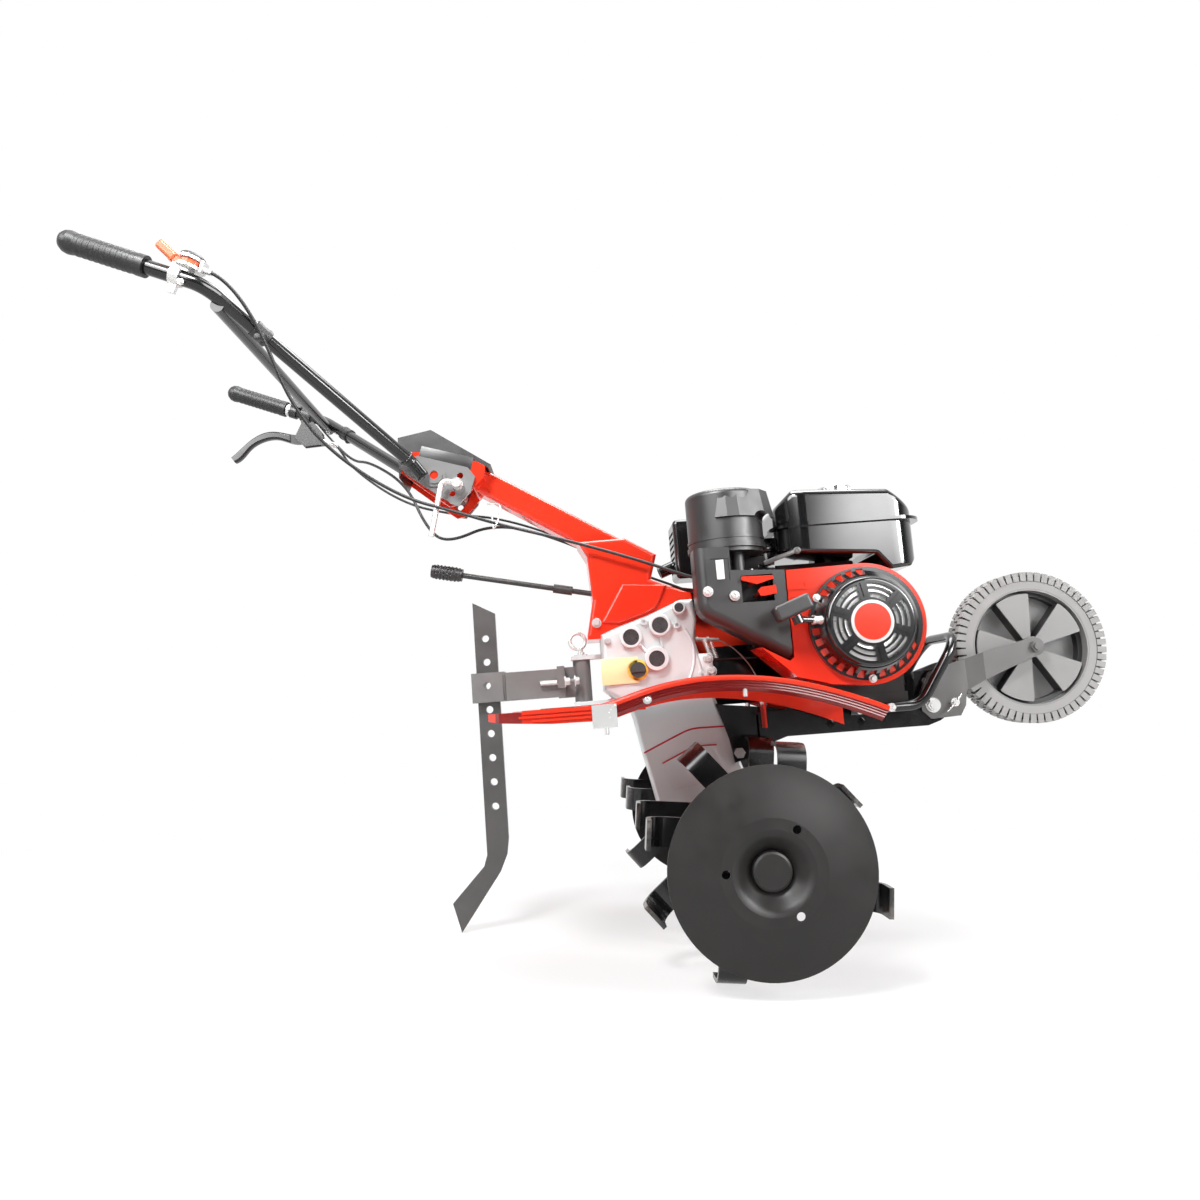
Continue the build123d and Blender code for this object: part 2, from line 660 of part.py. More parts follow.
def make_elbow():
    out = [(-32, cleaner_low), (-32, 345.3), (98, 268), (103, 276), (103, 404), (21, 409), (21, cleaner_low)]

    def rounded(c):
        return c.X < 60 and c.Z < cleaner_low - 4 and (c.X < 10 or c.Z < 340)

    def duct(points, front, back, bend, edge):
        d = slab(points, front, back)
        d = fillet([e for e in d.edges().filter_by(Axis.Y) if e.center().X < 0 and e.center().Z < 400], bend)
        return round_sides(d, edge, True, False, rounded)

    p = duct(out, elbow_y, -97, 30, 16)
    p -= duct(inset(out, elbow_wall), elbow_y + elbow_wall, -94, 27, 13)
    p += cyl_z(cleaner_x, cleaner_y, 57, cleaner_low - 6, cleaner_low)
    p -= box(35, 84, -160, -140, 358, 399)
    p -= box(-9, 19, -160, elbow_y + 1.5, 394, 428)
    for x, z in ((-17, 378), (23, 369)):
        p += cyl_y(x, z, 8, elbow_y - 3, -97)
    p += box(29, 35, -147, -96, 364, 400)
    p += box(29, 84, -97, -96, 364, 408)
    p += cyl_z(40, -112, 10.5, 405, cleaner_low - 5)
    for x, z in ((choke_x, choke_z), (fuel_x, fuel_z)):
        p -= cyl_y(x, z, lever_pin_r + 0.3, -100, -90)
    return p


def make_cup():
    at = lambda r, a: (cleaner_x + r * math.cos(math.radians(a)), cleaner_y + r * math.sin(math.radians(a)))
    p = cyl_z(cleaner_x, cleaner_y, cleaner_r, cleaner_low, cleaner_high)
    p = fillet(p.edges().sort_by(Axis.Z)[-1], 9)
    p += cyl_z(cleaner_x, cleaner_y, cleaner_r + 2, cleaner_low, cleaner_low + 8)
    p += cyl_z(cleaner_x, cleaner_y, cleaner_r + 1.2, cleaner_low + 14, cleaner_low + 18)
    p += cyl_z(cleaner_x, cleaner_y, 12, cleaner_high - 2, cleaner_high + 4)
    hood = [at(cleaner_r + 6, a) for a in (-112, -95, -78, -60)]
    hood += [at(74, -41), at(79, -16), at(70, 5), at(43, 41), (cleaner_x, cleaner_y)]
    wire = Polyline(*[(x, y, cleaner_low + 46) for x, y in hood], close=True)
    p += extrude(make_face(wire), amount=44, taper=10)
    p -= rod((70, -160, cleaner_low + 44), (110, -60, cleaner_low + 50), 9)
    p -= cyl_z(cleaner_x, cleaner_y, cleaner_r - cleaner_wall, cleaner_low - 6, cleaner_high - 8)
    return p


def make_muffler():
    p = box(-38, 62, 46, 128, 428, 532)
    p = fillet(p.edges(), 8)
    p -= box(-32, 56, 52, 122, 432, 524)
    for k in range(7):
        p -= box(-45, -30, 56, 118, 442 + 11 * k, 447 + 11 * k)
    p += cyl_y(46, 395, 8, 56, 66) + cyl_z(46, 66, 8, 395, 434)
    p += rod((-30, 110, 460), (-62, 110, 448), 11)
    p -= rod((-20, 110, 463.75), (-70, 110, 445), 8)
    return p


def make_belt():
    loop = lambda d: loop_points(crank_x, crank_z, engine_pulley_r + d, input_x, input_z, input_pulley_r + d)
    inner = slab(loop(belt_seat - groove_depth), belt_y0, belt_y1)
    return slab(loop(belt_proud), belt_y0 + belt_side, belt_y1 - belt_side) - inner


def pulley(x, z, r, hole):
    p = cyl_y(x, z, r + 2, belt_y0 - 4, belt_y0) + cyl_y(x, z, r + 2, belt_y1, belt_y1 + 4)
    p += cyl_y(x, z, r - groove_depth, belt_y0 - 1, belt_y1 + 1)
    p -= cyl_y(x, z, hole, belt_y0 - 10, belt_y1 + 10)
    return p


def make_crank():
    p = cyl_y(crank_x, crank_z, crank_r, -150, 104)
    p += cyl_y(crank_x, crank_z, 40, -38, -22) + cyl_y(crank_x, crank_z, 40, 30, 46)
    p += pulley(crank_x, crank_z, engine_pulley_r, crank_r - 1)
    return p


def make_flywheel():
    p = cyl_y(crank_x, crank_z, 80, -110, -78) - cyl_y(crank_x, crank_z, 66, -100, -70)
    for k in range(16):
        fin = box(crank_x + 40, crank_x + 78, -134, -109, crank_z - 1.5, crank_z + 1.5)
        p += turn_xz(fin, crank_x, crank_z, 22.5 * k)
    p += cyl_y(crank_x, crank_z, 24, -120, -70)
    p -= cyl_y(crank_x, crank_z, crank_r, -140, -60)
    return p


def make_input():
    aim = math.atan2(output_z - input_z, output_x - input_x)
    p = cyl_y(input_x, input_z, shaft_r, -60, 104)
    p += slab(gear_points(input_x, input_z, pinion_teeth, gear_module, aim, False), -36, -20)
    return p


def make_output():
    aim = math.atan2(input_z - output_z, input_x - output_x)
    p = cyl_y(output_x, output_z, shaft_r, -60, 60)
    p += slab(gear_points(output_x, output_z, wheel_teeth, gear_module, aim, True), -36, -20)
    p += slab(toothed_points(output_x, output_z, small_rp - 4, small_rp + 3.5, small_sprocket_teeth), -4, 4)
    return p


def make_bearings():
    group = []
    for x, z in ((input_x, input_z), (output_x, output_z)):
        for s in (-1, 1):
            a, b = sorted((s * 60, s * 49))
            group.append(cyl_y(x, z, bearing_r, a, b) - cyl_y(x, z, shaft_r + running_gap, a - 1, b + 1))
    for s in (-1, 1):
        a, b = sorted((s * 34, s * 21))
        group.append(cyl_y(0, 0, axle_bearing_r, a, b) - cyl_y(0, 0, journal_r + running_gap, a - 1, b + 1))
    return Compound(children=group)


def make_chain():
    group = []
    out = loop_points(0, 0, large_rp + 5, output_x, output_z, small_rp + 5)
    inn = loop_points(0, 0, large_rp - 4, output_x, output_z, small_rp - 4)
    for s in (-1, 1):
        a, b = sorted((s * 4.3, s * 6.3))
        group.append(slab(out, a, b) - slab(inn, a - 1, b + 1))
    return Compound(children=group)


def make_idler():
    p = cyl_y(idler_pivot_x, idler_pivot_z, 11, 73, 79.5)
    p += slab(loop_points(idler_pivot_x, idler_pivot_z, 11, idler_x, idler_z, 9), 75, 79.5)
    p += cyl_y(idler_x, idler_z, 6, 78, 99)
    p += cyl_y(idler_x, idler_z, idler_r, belt_y0 + 1, belt_y1 - 1)
    p -= cyl_y(idler_pivot_x, idler_pivot_z, 5 + running_gap, 60, 100)
    return p


def make_tine_shaft():
    p = hex_y(0, 0, hex_flat, -hub_end, hub_end)
    p += cyl_y(0, 0, journal_r, -hub_start, hub_start)
    p += slab(toothed_points(0, 0, large_rp - 4, large_rp + 3.5, large_sprocket_teeth), -4, 4)
    return p


def blade(turn, bend):
    r = 24.0
    x1 = tine_reach
    z0, z1 = -tine_offset - tine_width / 2, -tine_offset + tine_width / 2
    e = [Line((14, 0, z0), (x1 - r, 0, z0)),
         RadiusArc((x1 - r, 0, z0), (x1, r, z0), -r),
         Line((x1, r, z0), (x1, 48, z0)), Line((x1, 48, z0), (x1 - tine_t, 48, z0)),
         Line((x1 - tine_t, 48, z0), (x1 - tine_t, r, z0)),
         RadiusArc((x1 - tine_t, r, z0), (x1 - r, tine_t, z0), r - tine_t),
         Line((x1 - r, tine_t, z0), (14, tine_t, z0)), Line((14, tine_t, z0), (14, 0, z0))]
    p = extrude(make_face(e), amount=z1 - z0, dir=(0, 0, 1))
    p = Pos(0, -tine_t / 2, 0) * p
    if bend < 0:
        p = flip(p)
    return Rot(0, -turn, 0) * p


def spider(y, angle):
    p = cyl_y(0, 0, 46, -3.5, 3.5)
    for k in range(4):
        p += blade(angle + 90 * k, -1 if k % 2 else 1)
    return Pos(0, y, 0) * p


def tine_section(y0, y1, rows):
    p = cyl_y(0, 0, hub_r, y0, y1)
    for y, a in rows:
        p += spider(y, a)
    p -= hex_y(0, 0, hex_flat, y0 - 1, y1 + 1)
    return p


spiders = list(zip(spider_ys, spider_angles))


def make_inner_tines():
    return both(tine_section(hub_start, hub_split, spiders[:2]))


def make_outer_tines():
    return both(tine_section(hub_split, hub_end, spiders[2:]))


def make_discs():
    y0, yr, yc = hub_end, disc_rim_y, disc_crown_y
    t = disc_t
    b = disc_boss_r
    dish = [(b, y0 + 6.5), (33, y0 + 12.5), (39, y0 + 18.5), (46, yc - 2.4), (53, yc)]
    rim = [(67, yc), (84, yc - 2.6), (104, yc - 6), (disc_r, yr + t)]
    back_rim = [(r, y - t) for r, y in reversed(rim)]
    back_dish = [(53, yc - t), (47.5, yc - 4.8), (41, y0 + 15.8), (35, y0 + 9.8), (b + 2, y0 + 2.5)]
    flat = lambda rows: [(r, y, 0) for r, y in rows]
    boss = [(b + 2, y0 + 2.5), (b + 2, y0), (0, y0), (0, y0 + 16), (b - 4, y0 + 16), (b - 1.2, y0 + 14.8),
            (b, y0 + 12), (b, y0 + 6.5)]
    edges = [Polyline(*flat(boss)), Spline(*flat(dish)), Line(*flat([dish[-1], rim[0]])), Spline(*flat(rim)),
             Line(*flat([rim[-1], back_rim[0]])), Spline(*flat(back_rim)),
             Line(*flat([back_rim[-1], back_dish[0]])), Spline(*flat(back_dish))]
    p = revolve(make_face(edges), Axis.Y)
    for k in range(3):
        a = math.radians(57 + 120 * k)
        r = disc_hole_pcd / 2
        p -= cyl_y(r * math.cos(a), r * math.sin(a), disc_hole_r, y0, y0 + 60)
    return both(p)


def make_fork():
    arm = [(326, 172), (326, 196), (342, 232), (394, 248), (530, 277)]
    eye = [math.radians(a) for a in range(80, -91, -17)]
    arm += [(wheel_x + 15 * math.cos(a), wheel_z + 15 * math.sin(a)) for a in eye]
    arm += [(428, 208), (402, 199), (398, 176), (388, 160), (340, 158)]
    out = fork_in + fork_t
    face = fork_hub_in + fork_t
    plan = [(320, fork_in), (402.5, fork_in), (444, fork_hub_in), (560, fork_hub_in), (560, face),
            (446, face), (404.5, out), (320, out)]
    wire = Polyline(*[(x, y, 150) for x, y in plan], close=True)
    side = extrude(make_face(wire), amount=150, dir=(0, 0, 1)) & slab(arm, 0, 80)
    p = side + flip(side)
    p -= cyl_y(fork_pivot_x, fork_pivot_z, fork_bolt_r + running_gap, -80, 80)
    p -= cyl_y(fork_pin_x, fork_pin_z, fork_pin_r + running_gap, -80, 80)
    p -= cyl_y(wheel_x, wheel_z, wheel_axle_r, -80, 80)
    p += box(404, 410, -fork_in, fork_in, 206, 236)
    axle = cyl_y(wheel_x, wheel_z, wheel_axle_r, -face - 10, face + 6)
    axle += hex_y(wheel_x, wheel_z, 17, -face - 6, -face) + hex_y(wheel_x, wheel_z, 17, face, face + 6)
    for s in (-1, 1):
        a, b = sorted((s * (wheel_hub_half + side_gap), s * fork_hub_in))
        axle += cyl_y(wheel_x, wheel_z, 9, a, b)
    return Compound(children=[p, axle])


def make_rim():
    p = cyl_y(wheel_x, wheel_z, rim_r, -wheel_half + 2, wheel_half - 2)
    p -= cyl_y(wheel_x, wheel_z, rim_r - 3, -40, 40)
    p += cyl_y(wheel_x, wheel_z, rim_r - 2, -3, 3) - cyl_y(wheel_x, wheel_z, rim_web_r - 2, -10, 10)
    p += cyl_y(wheel_x, wheel_z, 17, -wheel_hub_half, wheel_hub_half)
    for k in range(5):
        a = 104 + 72 * k
        for s, mid in ((-1, a), (1, a + 36)):
            y0, y1 = sorted((s * 12, s * 15))
            p += sector(wheel_x, wheel_z, 12, rim_web_r, mid - 18, mid + 18, y0, y1)
            y0, y1 = sorted((s * -3, s * 15))
            p += sector(wheel_x, wheel_z, rim_web_r - 3, rim_web_r, mid - 18, mid + 18, y0, y1)
            wall = box(wheel_x + 12, wheel_x + rim_web_r - 1, -15, 15, wheel_z - 1.5, wheel_z + 1.5)
            p += turn_xz(wall, wheel_x, wheel_z, mid - 18)
    p -= cyl_y(wheel_x, wheel_z, wheel_axle_r + running_gap, -60, 60)
    return p


def make_tyre():
    base = wheel_r - tread_depth
    wall = wheel_half - 1.5
    p = cyl_y(wheel_x, wheel_z, base, -wall, wall)
    p = fillet(p.edges(), 6)
    step = 2 * math.pi / tread_blocks
    foot = wheel_r - 16
    rows = ((-wheel_half, -7, foot, 0.0), (-6, 6, base - 2, 0.5), (7, wheel_half, foot, 0.0))
    for y0, y1, low, turn in rows:
        blocks = toothed_points(wheel_x, wheel_z, low, wheel_r, tread_blocks, turn * step, 0.8, 1.0, 0.92)
        p += slab(blocks, y0, y1) - cyl_y(wheel_x, wheel_z, low + 1, -40, 40)
    p -= cyl_y(wheel_x, wheel_z, rim_r, -40, 40)
    return p


def make_lock_pin():
    p = cyl_y(fork_pin_x, fork_pin_z, fork_pin_r, -66, 60)
    p += cyl_y(fork_pin_x, fork_pin_z, 7, -60, -fork_in - fork_t - 0.2)
    x, z = fork_pin_x, fork_pin_z
    return p + tube([(x + 10, -63, z + 12), (x, -63, z), (x - 16, -63, z - 14)], [4], 1.3)


def make_hitch_pin():
    p = cyl_z(hitch_x, 0, hitch_pin_r, 214, 309)
    p += cyl_z(hitch_x, 0, 11, hitch_high + 7, hitch_high + 9)
    ring = Pos(hitch_x - 4, 0, 328) * Rot(90, 0, 0) * Torus(13, 3)
    p += cyl_z(hitch_x, 0, 4, 305, 317)
    return p + ring


def make_drag_arm():
    p = cyl_z(hitch_x, 0, hitch_tube_r, hitch_low, hitch_high)
    p += box(-246, -225, -8, 8, 236, 286)
    p += box(-256, -244, -25, 25, 236, 288)
    p += box(-345, -254, -23, 23, 238, 284) - box(-342, -256, -20, 20, 241, 281)
    p += box(-396, -342, -24, 24, 238, 286)
    p -= box(stake_x - stake_w / 2 - side_gap, stake_x + stake_w / 2 + side_gap, -stake_t / 2 - side_gap,
             stake_t / 2 + side_gap, 200, 320)
    p -= cyl_y(stake_x, stake_hole_top - 2 * stake_pitch, stake_hole_r, -60, 60)
    p -= cyl_z(hitch_x, 0, hitch_pin_r + running_gap, 200, 330)
    for y in (-14, 14):
        p += rod((-285, -29 if y < 0 else 29, 262), (-226, -29 if y < 0 else 29, 262), 4)
        p += box(-256, -244, min(y * 1.6, y * 2.5), max(y * 1.6, y * 2.5), 252, 272)
    return p


def make_stake():
    h = stake_w / 2
    x = stake_x
    a = math.radians(stand_tilt)
    tip = (-axle_height + 436 * math.sin(a)) / math.cos(a)
    pts = [(x - h, 404), (x + h, 384), (x + h, 18), (x + 14, -8), (x + 2, -34), (-436, tip), (-448, -78),
           (x - h - 6, -24), (x - h, -6)]
    p = slab(pts, -stake_t / 2, stake_t / 2)
    for k in range(8):
        p -= cyl_y(x, stake_hole_top - k * stake_pitch, stake_hole_r, -20, 20)
    return p


def make_shift():
    p = rod(on_shift(30), on_shift(330), shift_r)
    p += rod(on_shift(206), on_shift(238), 7.5)
    knob = rod(on_shift(0), on_shift(52), 10.5)
    for k in range(9):
        knob += rod(on_shift(3 + 5.2 * k), on_shift(6 + 5.2 * k), 11.6)
    return p + knob


grip_end = Vector(-881, -grip_half_spread, 909)
grip_turn = Vector(-699, -grip_half_spread + 4, 836)
tube_foot = Vector(-467, -66, 633)


def handle_tube():
    path = [tuple(grip_end), tuple(grip_turn), tuple(tube_foot), (-450, -66, 609)]
    return tube(path, [60, 16], tube_r)


def make_handle():
    p = handle_tube()
    y0, y1 = -handle_plate_in - handle_plate_t, -handle_plate_in
    outline = [(-487, 628), (-482, 641), (-458, 647), (-378, 622), (-367, 606), (-375, 582), (-397, 560),
               (-406, 562), (-478, 616)]
    p += slab(outline, y0, y1)
    for r, proud in ((19, 3), (14, 5)):
        p += cyl_y(handle_pivot_x, handle_pivot_z, r, y0 - proud, y0)
    p -= cyl_y(handle_pivot_x, handle_pivot_z, handle_pivot_r + running_gap, -80, 0)
    for k in (-1, 0, 1):
        a = math.radians(handle_hole_mid + k * handle_hole_step)
        x = handle_pivot_x + handle_hole_radius * math.cos(a)
        z = handle_pivot_z + handle_hole_radius * math.sin(a)
        p -= cyl_y(x, z, lock_bolt_r + running_gap, -80, 0)
    return p


def make_brace():
    a = (-688, -grip_half_spread + 17, 813)
    p = rod(a, (a[0], -a[1], a[2]), 9.5)
    weld = handle_tube()
    return p - weld - flip(weld)


def make_grip():
    end = grip_length
    line = [(0, -14.5), (6, -13.4), (11.5, -9.8), (15.2, -4.4), (grip_r + 1, 2), (grip_r + 0.5, 7),
            (grip_r - 0.6, 12), (grip_r - 0.6, 14), (grip_r, 15), (grip_r, 19), (grip_r - 0.6, 20)]
    for k in range(9):
        a = 24 + 8 * k
        line += [(grip_r - 0.6, a), (grip_r, a + 0.8), (grip_r, a + 3.2), (grip_r - 0.6, a + 4)]
    line += [(grip_r - 0.6, end - 13), (grip_r, end - 12), (grip_r, end), (tube_r, end), (tube_r, 0), (0, 0)]
    return turned(line, grip_end, grip_turn - grip_end)


tube_dir = (grip_turn - grip_end).normalized()
tube_up = Vector(-tube_dir.Z, 0, tube_dir.X).normalized()


def on_tube(d, up, side=0.0):
    return grip_end + tube_dir * d + tube_up * up + Vector(0, side, 0)


def flip_y(v):
    return Vector(v.X, -v.Y, v.Z)


def switch_plane():
    return Plane(origin=flip_y(on_tube(131, 18)), x_dir=flip_y(tube_dir), z_dir=tube_up)


def thumb_plane(d, up, side=0.0):
    o = on_tube(d, up, side)
    return Plane(origin=o, x_dir=tube_dir, z_dir=tube_up)


def make_throttle_housing():
    p = thumb_plane(156, 0) * Rot(0, 90, 0) * Cylinder(tube_r + 3, 14)
    p += thumb_plane(156, -17) * Box(10, 8, 14)
    p += thumb_plane(160, 13) * Box(24, 18, 8)
    p += thumb_plane(168, 16.5) * Cylinder(19, 4)
    p += thumb_plane(168, 22) * Cylinder(5, 14)
    p += thumb_plane(168, 29) * Cylinder(18, 4)
    p += thumb_plane(186, 22.7) * Box(4, 16, 16.5)
    p += thumb_plane(193, 20) * Rot(0, 90, 0) * Cylinder(4, 12)
    p -= handle_tube()
    return p


def make_throttle_lever():
    p = thumb_plane(168, 22.75) * (Cylinder(15, 7) - Cylinder(5 + running_gap, 30))
    p += thumb_plane(148, 22.75) * Box(22, 9, 7)
    paddle = thumb_plane(131, 31) * Rot(0, 26, 0) * fillet(Box(34, 13, 14).edges(), 4)
    return p + paddle


def make_clutch_bracket():
    s = grip_half_spread
    p = rod(tuple(flip_y(on_tube(146, 0))), tuple(flip_y(on_tube(166, 0))), tube_r + 3.5)
    hexa = [(-748, 834), (-728, 842), (-706, 812), (-710, 788), (-744, 786), (-762, 806)]
    p += slab(hexa, s - 8, s - 4) + slab(hexa, s + 4, s + 8)
    p += slab([(-750, 846), (-736, 843), (-728, 836), (-746, 826)], s - 8, s + 8)
    p += slab([(-711, 806), (-705, 806), (-705, 788), (-711, 788)], s - 8, s + 8)
    p += rod((-705, s, 797), (-678, s, 783), 4)
    p += cyl_y(clutch_pivot_x, clutch_pivot_z, clutch_pin_r, s - 8, s + 8)
    p -= flip(handle_tube())
    return p


def make_clutch_lever():
    s = grip_half_spread
    p = cyl_y(clutch_pivot_x, clutch_pivot_z, 9, s - 3.5, s + 3.5)
    top = [(-742, 811), (-771, 814.5), (-812, 822.5), (-846.6, 810.8), (-875.6, 787.5), (-892, 774)]
    low = [(-742, 795), (-768, 795), (-798, 805.4), (-826.6, 803.1), (-853, 788.5), (-872, 768.5),
           (-884, 762)]
    blade = curve_slab(top, low, s - 7, s + 7)
    p += fillet([e for f in (blade.faces().sort_by(Axis.Y)[0], blade.faces().sort_by(Axis.Y)[-1])
                 for e in f.edges() if e.length > 60], 4)
    p -= cyl_y(clutch_pivot_x, clutch_pivot_z, clutch_pin_r + running_gap, s - 12, s + 12)
    p -= box(-772, -690, s - 20, s - 3.5, 780, 830) + box(-772, -690, s + 3.5, s + 20, 780, 830)
    return p


def make_switch():
    p = rod(tuple(flip_y(on_tube(122, 0))), tuple(flip_y(on_tube(136, 0))), tube_r + 3)
    p += switch_plane() * Box(22, 24, 18)
    p -= flip(handle_tube())
    p -= switch_plane() * (Pos(0, 0, 6) * Box(13.6, 13.6, 16))
    return p


def make_button():
    return switch_plane() * (Pos(0, 0, 7) * Box(12.6, 12.6, 10))


def make_lock_lever():
    y = -handle_plate_in - handle_plate_t
    p = cyl_y(lock_x, lock_z, lock_bolt_r, y - 16, 62)
    p += cyl_y(lock_x, lock_z, 9, y - 8, y - 0.2)
    p += cyl_y(lock_x, lock_z, 8, y - 22, y - 8)
    p += tube([(lock_x, y - 16, lock_z), (lock_x - 24, y - 16, lock_z + 5), (-441, y - 16, 508)], [9], 4.5)
    p += hex_y(lock_x, lock_z, 17, 57.2, 64)
    return p


def make_oil_cap():
    p = cyl_y(oil_x, oil_z, 12.5, -67, -case_half - 4)
    p += cyl_y(oil_x, oil_z, oil_hole_r - 0.1, -case_half - 5, -44)
    p += box(oil_x - 11, oil_x + 11, -71, -66, oil_z - 3.5, oil_z + 3.5)
    return p


def make_throttle_cable():
    path = [(-688.4, -301, 853.3), (-667, -297, 842), (-636, -262, 782), (-611, -232, 690), (-566, -190, 622),
            (-480, -112, 566), (-401, -68, 547), (-331, -60, 522), (-235, -62, 492), (-109, -62, 448),
            (-20, -58, 410), (32.7, -74.5, 395.5)]
    return tube(path, [25, 25, 40, 60, 60, 40, 40, 40, 40, 40], cable_r)


def make_left_cables():
    clutch = [(-676, 305, 782), (-646, 286, 744), (-590, 200, 716), (-505, 100, 640), (-472, 76, 556),
              (-436, 66, 520), (-345, 58, 552), (-222, 58, 508), (-100, 62, 436), (-20, 66, 398),
              (10, 70, 372), (60, 71, 346), (119, 71.8, 322)]
    stop = [(-752, 320, 884), (-716, 326, 832), (-680, 322, 786), (-640, 262, 722), (-514, 104, 606),
            (-417, 80, 574), (-339, 74, 562), (-225, 70, 516), (-100, 72, 444), (-40, 70, 418), (10, 72, 394),
            (48, 72, 379), (59.1, 64, 382), (59.1, 54.5, 382.7)]
    return Compound(children=[tube(clutch, [20, 30, 40, 25, 20, 30, 40, 40, 30, 20, 20], cable_r),
                              tube(stop, [20, 20, 30, 40, 30, 30, 30, 30, 30, 20, 20, 5], wire_r)])


def make_bolts():
    group = []
    for s in (-1, 1):
        across = lambda a, b: sorted((s * a, s * b))
        rail = bumper_y + bumper_r
        for x in bumper_bolt_xs:
            group.append(cyl_y(x, bumper_bolt_z, bumper_bolt_r, *across(frame_half - 6, rail))
                         + hex_y(x, bumper_bolt_z, 13, *across(rail, rail + 6)))
        plate = leg_half + side_plate_t
        group.append(cyl_y(leg_bolt_x, leg_bolt_z, leg_bolt_r, *across(leg_half, plate))
                     + hex_y(leg_bolt_x, leg_bolt_z, 16, *across(plate, plate + 6)))
        group.append(box(-208, -175, *across(299, 301), 190, 221))
    pivot = cyl_y(fork_pivot_x, fork_pivot_z, fork_bolt_r, -62, 62)
    for s in (-1, 1):
        face = fork_in + fork_t + 0.4
        pivot += cyl_y(fork_pivot_x, fork_pivot_z, 12, *sorted((s * face, s * (face + 1.6))))
        pivot += hex_y(fork_pivot_x, fork_pivot_z, 17, *sorted((s * face, s * (face + 5.6))))
    group.append(pivot)
    return Compound(children=group)


makers = {
    "main_frame": make_main_frame,
    "bumper_loop": make_bumper,
    "gearbox_right": lambda: make_case(-1),
    "gearbox_left": lambda: make_case(1),
    "chain_case": lambda: both(make_chain_half()),
    "case_plugs": make_plugs,
    "handle_column": make_column,
    "dash_cover": make_dash,
    "fender_right": make_fender,
    "fender_left": lambda: flip(make_fender()),
    "belt_guard": make_guard,
    "engine_block": make_block,
    "cylinder_head": make_head,
    "blower_housing": make_blower,
    "recoil_cover": make_recoil,
    "fuel_tank": make_tank,
    "carburettor": make_carb,
    "air_elbow": make_elbow,
    "air_cleaner_cup": make_cup,
    "muffler": make_muffler,
    "drive_belt": make_belt,
    "throttle_cable": make_throttle_cable,
    "left_cables": make_left_cables,
    "frame_bolts": make_bolts,
    "shaft_bearings": make_bearings,
    "drive_chain": make_chain,
    "crankshaft": make_crank,
    "flywheel": make_flywheel,
    "starter_grip": make_pull,
    "choke_lever": make_choke,
    "fuel_lever": make_fuel,
    "tank_cap": make_cap,
    "oil_cap": make_oil_cap,
    "input_shaft": make_input,
    "input_pulley": lambda: pulley(input_x, input_z, input_pulley_r, shaft_r),
    "output_shaft": make_output,
    "idler_arm": make_idler,
    "tine_shaft": make_tine_shaft,
    "inner_tines": make_inner_tines,
    "outer_tines": make_outer_tines,
    "side_discs": make_discs,
    "wheel_fork": make_fork,
    "wheel_rim": make_rim,
    "wheel_tyre": make_tyre,
    "lock_pin": make_lock_pin,
    "hitch_pin": make_hitch_pin,
    "drag_arm": make_drag_arm,
    "drag_stake": make_stake,
    "shift_rod": make_shift,
    "handle_right": make_handle,
    "handle_left": lambda: flip(make_handle()),
    "handle_brace": make_brace,
    "grips": lambda: both(make_grip()),
    "throttle_housing": make_throttle_housing,
    "throttle_lever": make_throttle_lever,
    "clutch_bracket": make_clutch_bracket,
    "clutch_lever": make_clutch_lever,
    "stop_switch": make_switch,
    "stop_button": make_button,
    "lock_lever": make_lock_lever,
}

tilted = {name: Rot(0, -stand_tilt, 0) * make() for name, make in makers.items()}
low = min(p.bounding_box().min.X for p in tilted.values())
high = max(p.bounding_box().max.X for p in tilted.values())
ground = min(p.bounding_box().min.Z for p in tilted.values())
stand_x = -(low + high) / 2
os.makedirs("parts", exist_ok=True)
for name, p in tilted.items():
    export_step(Pos(stand_x, 0, axle_height) * p, f"parts/{name}.step")
print("stand_x", round(stand_x, 3), "lowest point", round(ground + axle_height, 3))
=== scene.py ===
import json
import math

import bpy
from mathutils import Matrix, Vector


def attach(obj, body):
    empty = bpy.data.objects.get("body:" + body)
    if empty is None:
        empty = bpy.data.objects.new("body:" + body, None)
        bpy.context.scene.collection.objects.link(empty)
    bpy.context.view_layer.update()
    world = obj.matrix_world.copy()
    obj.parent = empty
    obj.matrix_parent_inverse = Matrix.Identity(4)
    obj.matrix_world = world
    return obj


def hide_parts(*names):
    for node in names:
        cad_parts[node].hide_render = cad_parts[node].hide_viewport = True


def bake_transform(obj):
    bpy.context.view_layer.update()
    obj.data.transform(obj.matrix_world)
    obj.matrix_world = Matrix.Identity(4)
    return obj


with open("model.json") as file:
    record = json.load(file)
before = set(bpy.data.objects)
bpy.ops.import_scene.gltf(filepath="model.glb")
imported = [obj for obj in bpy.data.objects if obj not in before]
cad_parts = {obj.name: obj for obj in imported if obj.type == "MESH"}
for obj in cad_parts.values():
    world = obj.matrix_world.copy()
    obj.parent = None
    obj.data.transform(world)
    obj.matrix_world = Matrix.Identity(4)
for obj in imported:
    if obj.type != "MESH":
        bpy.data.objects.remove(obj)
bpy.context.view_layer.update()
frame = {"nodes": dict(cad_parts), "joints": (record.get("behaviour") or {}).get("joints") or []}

# The machine's own frame: millimetres from the middle of the tine axle, tilted nose-up as it stands.
joints = {j["name"]: j for j in frame["joints"]}
stand_tilt = math.radians(4.3)
stand_turn = Matrix.Rotation(-stand_tilt, 3, "Y")
axle = Vector(joints["rotor_spin"]["pos_m"])
mm = 0.001


def at(x, y, z):
    """A point of the machine, in metres in the row frame."""
    return axle + stand_turn @ Vector((x, y, z)) * mm


def along(x, y, z):
    """A direction of the machine in the row frame."""
    return (stand_turn @ Vector((x, y, z))).normalized()


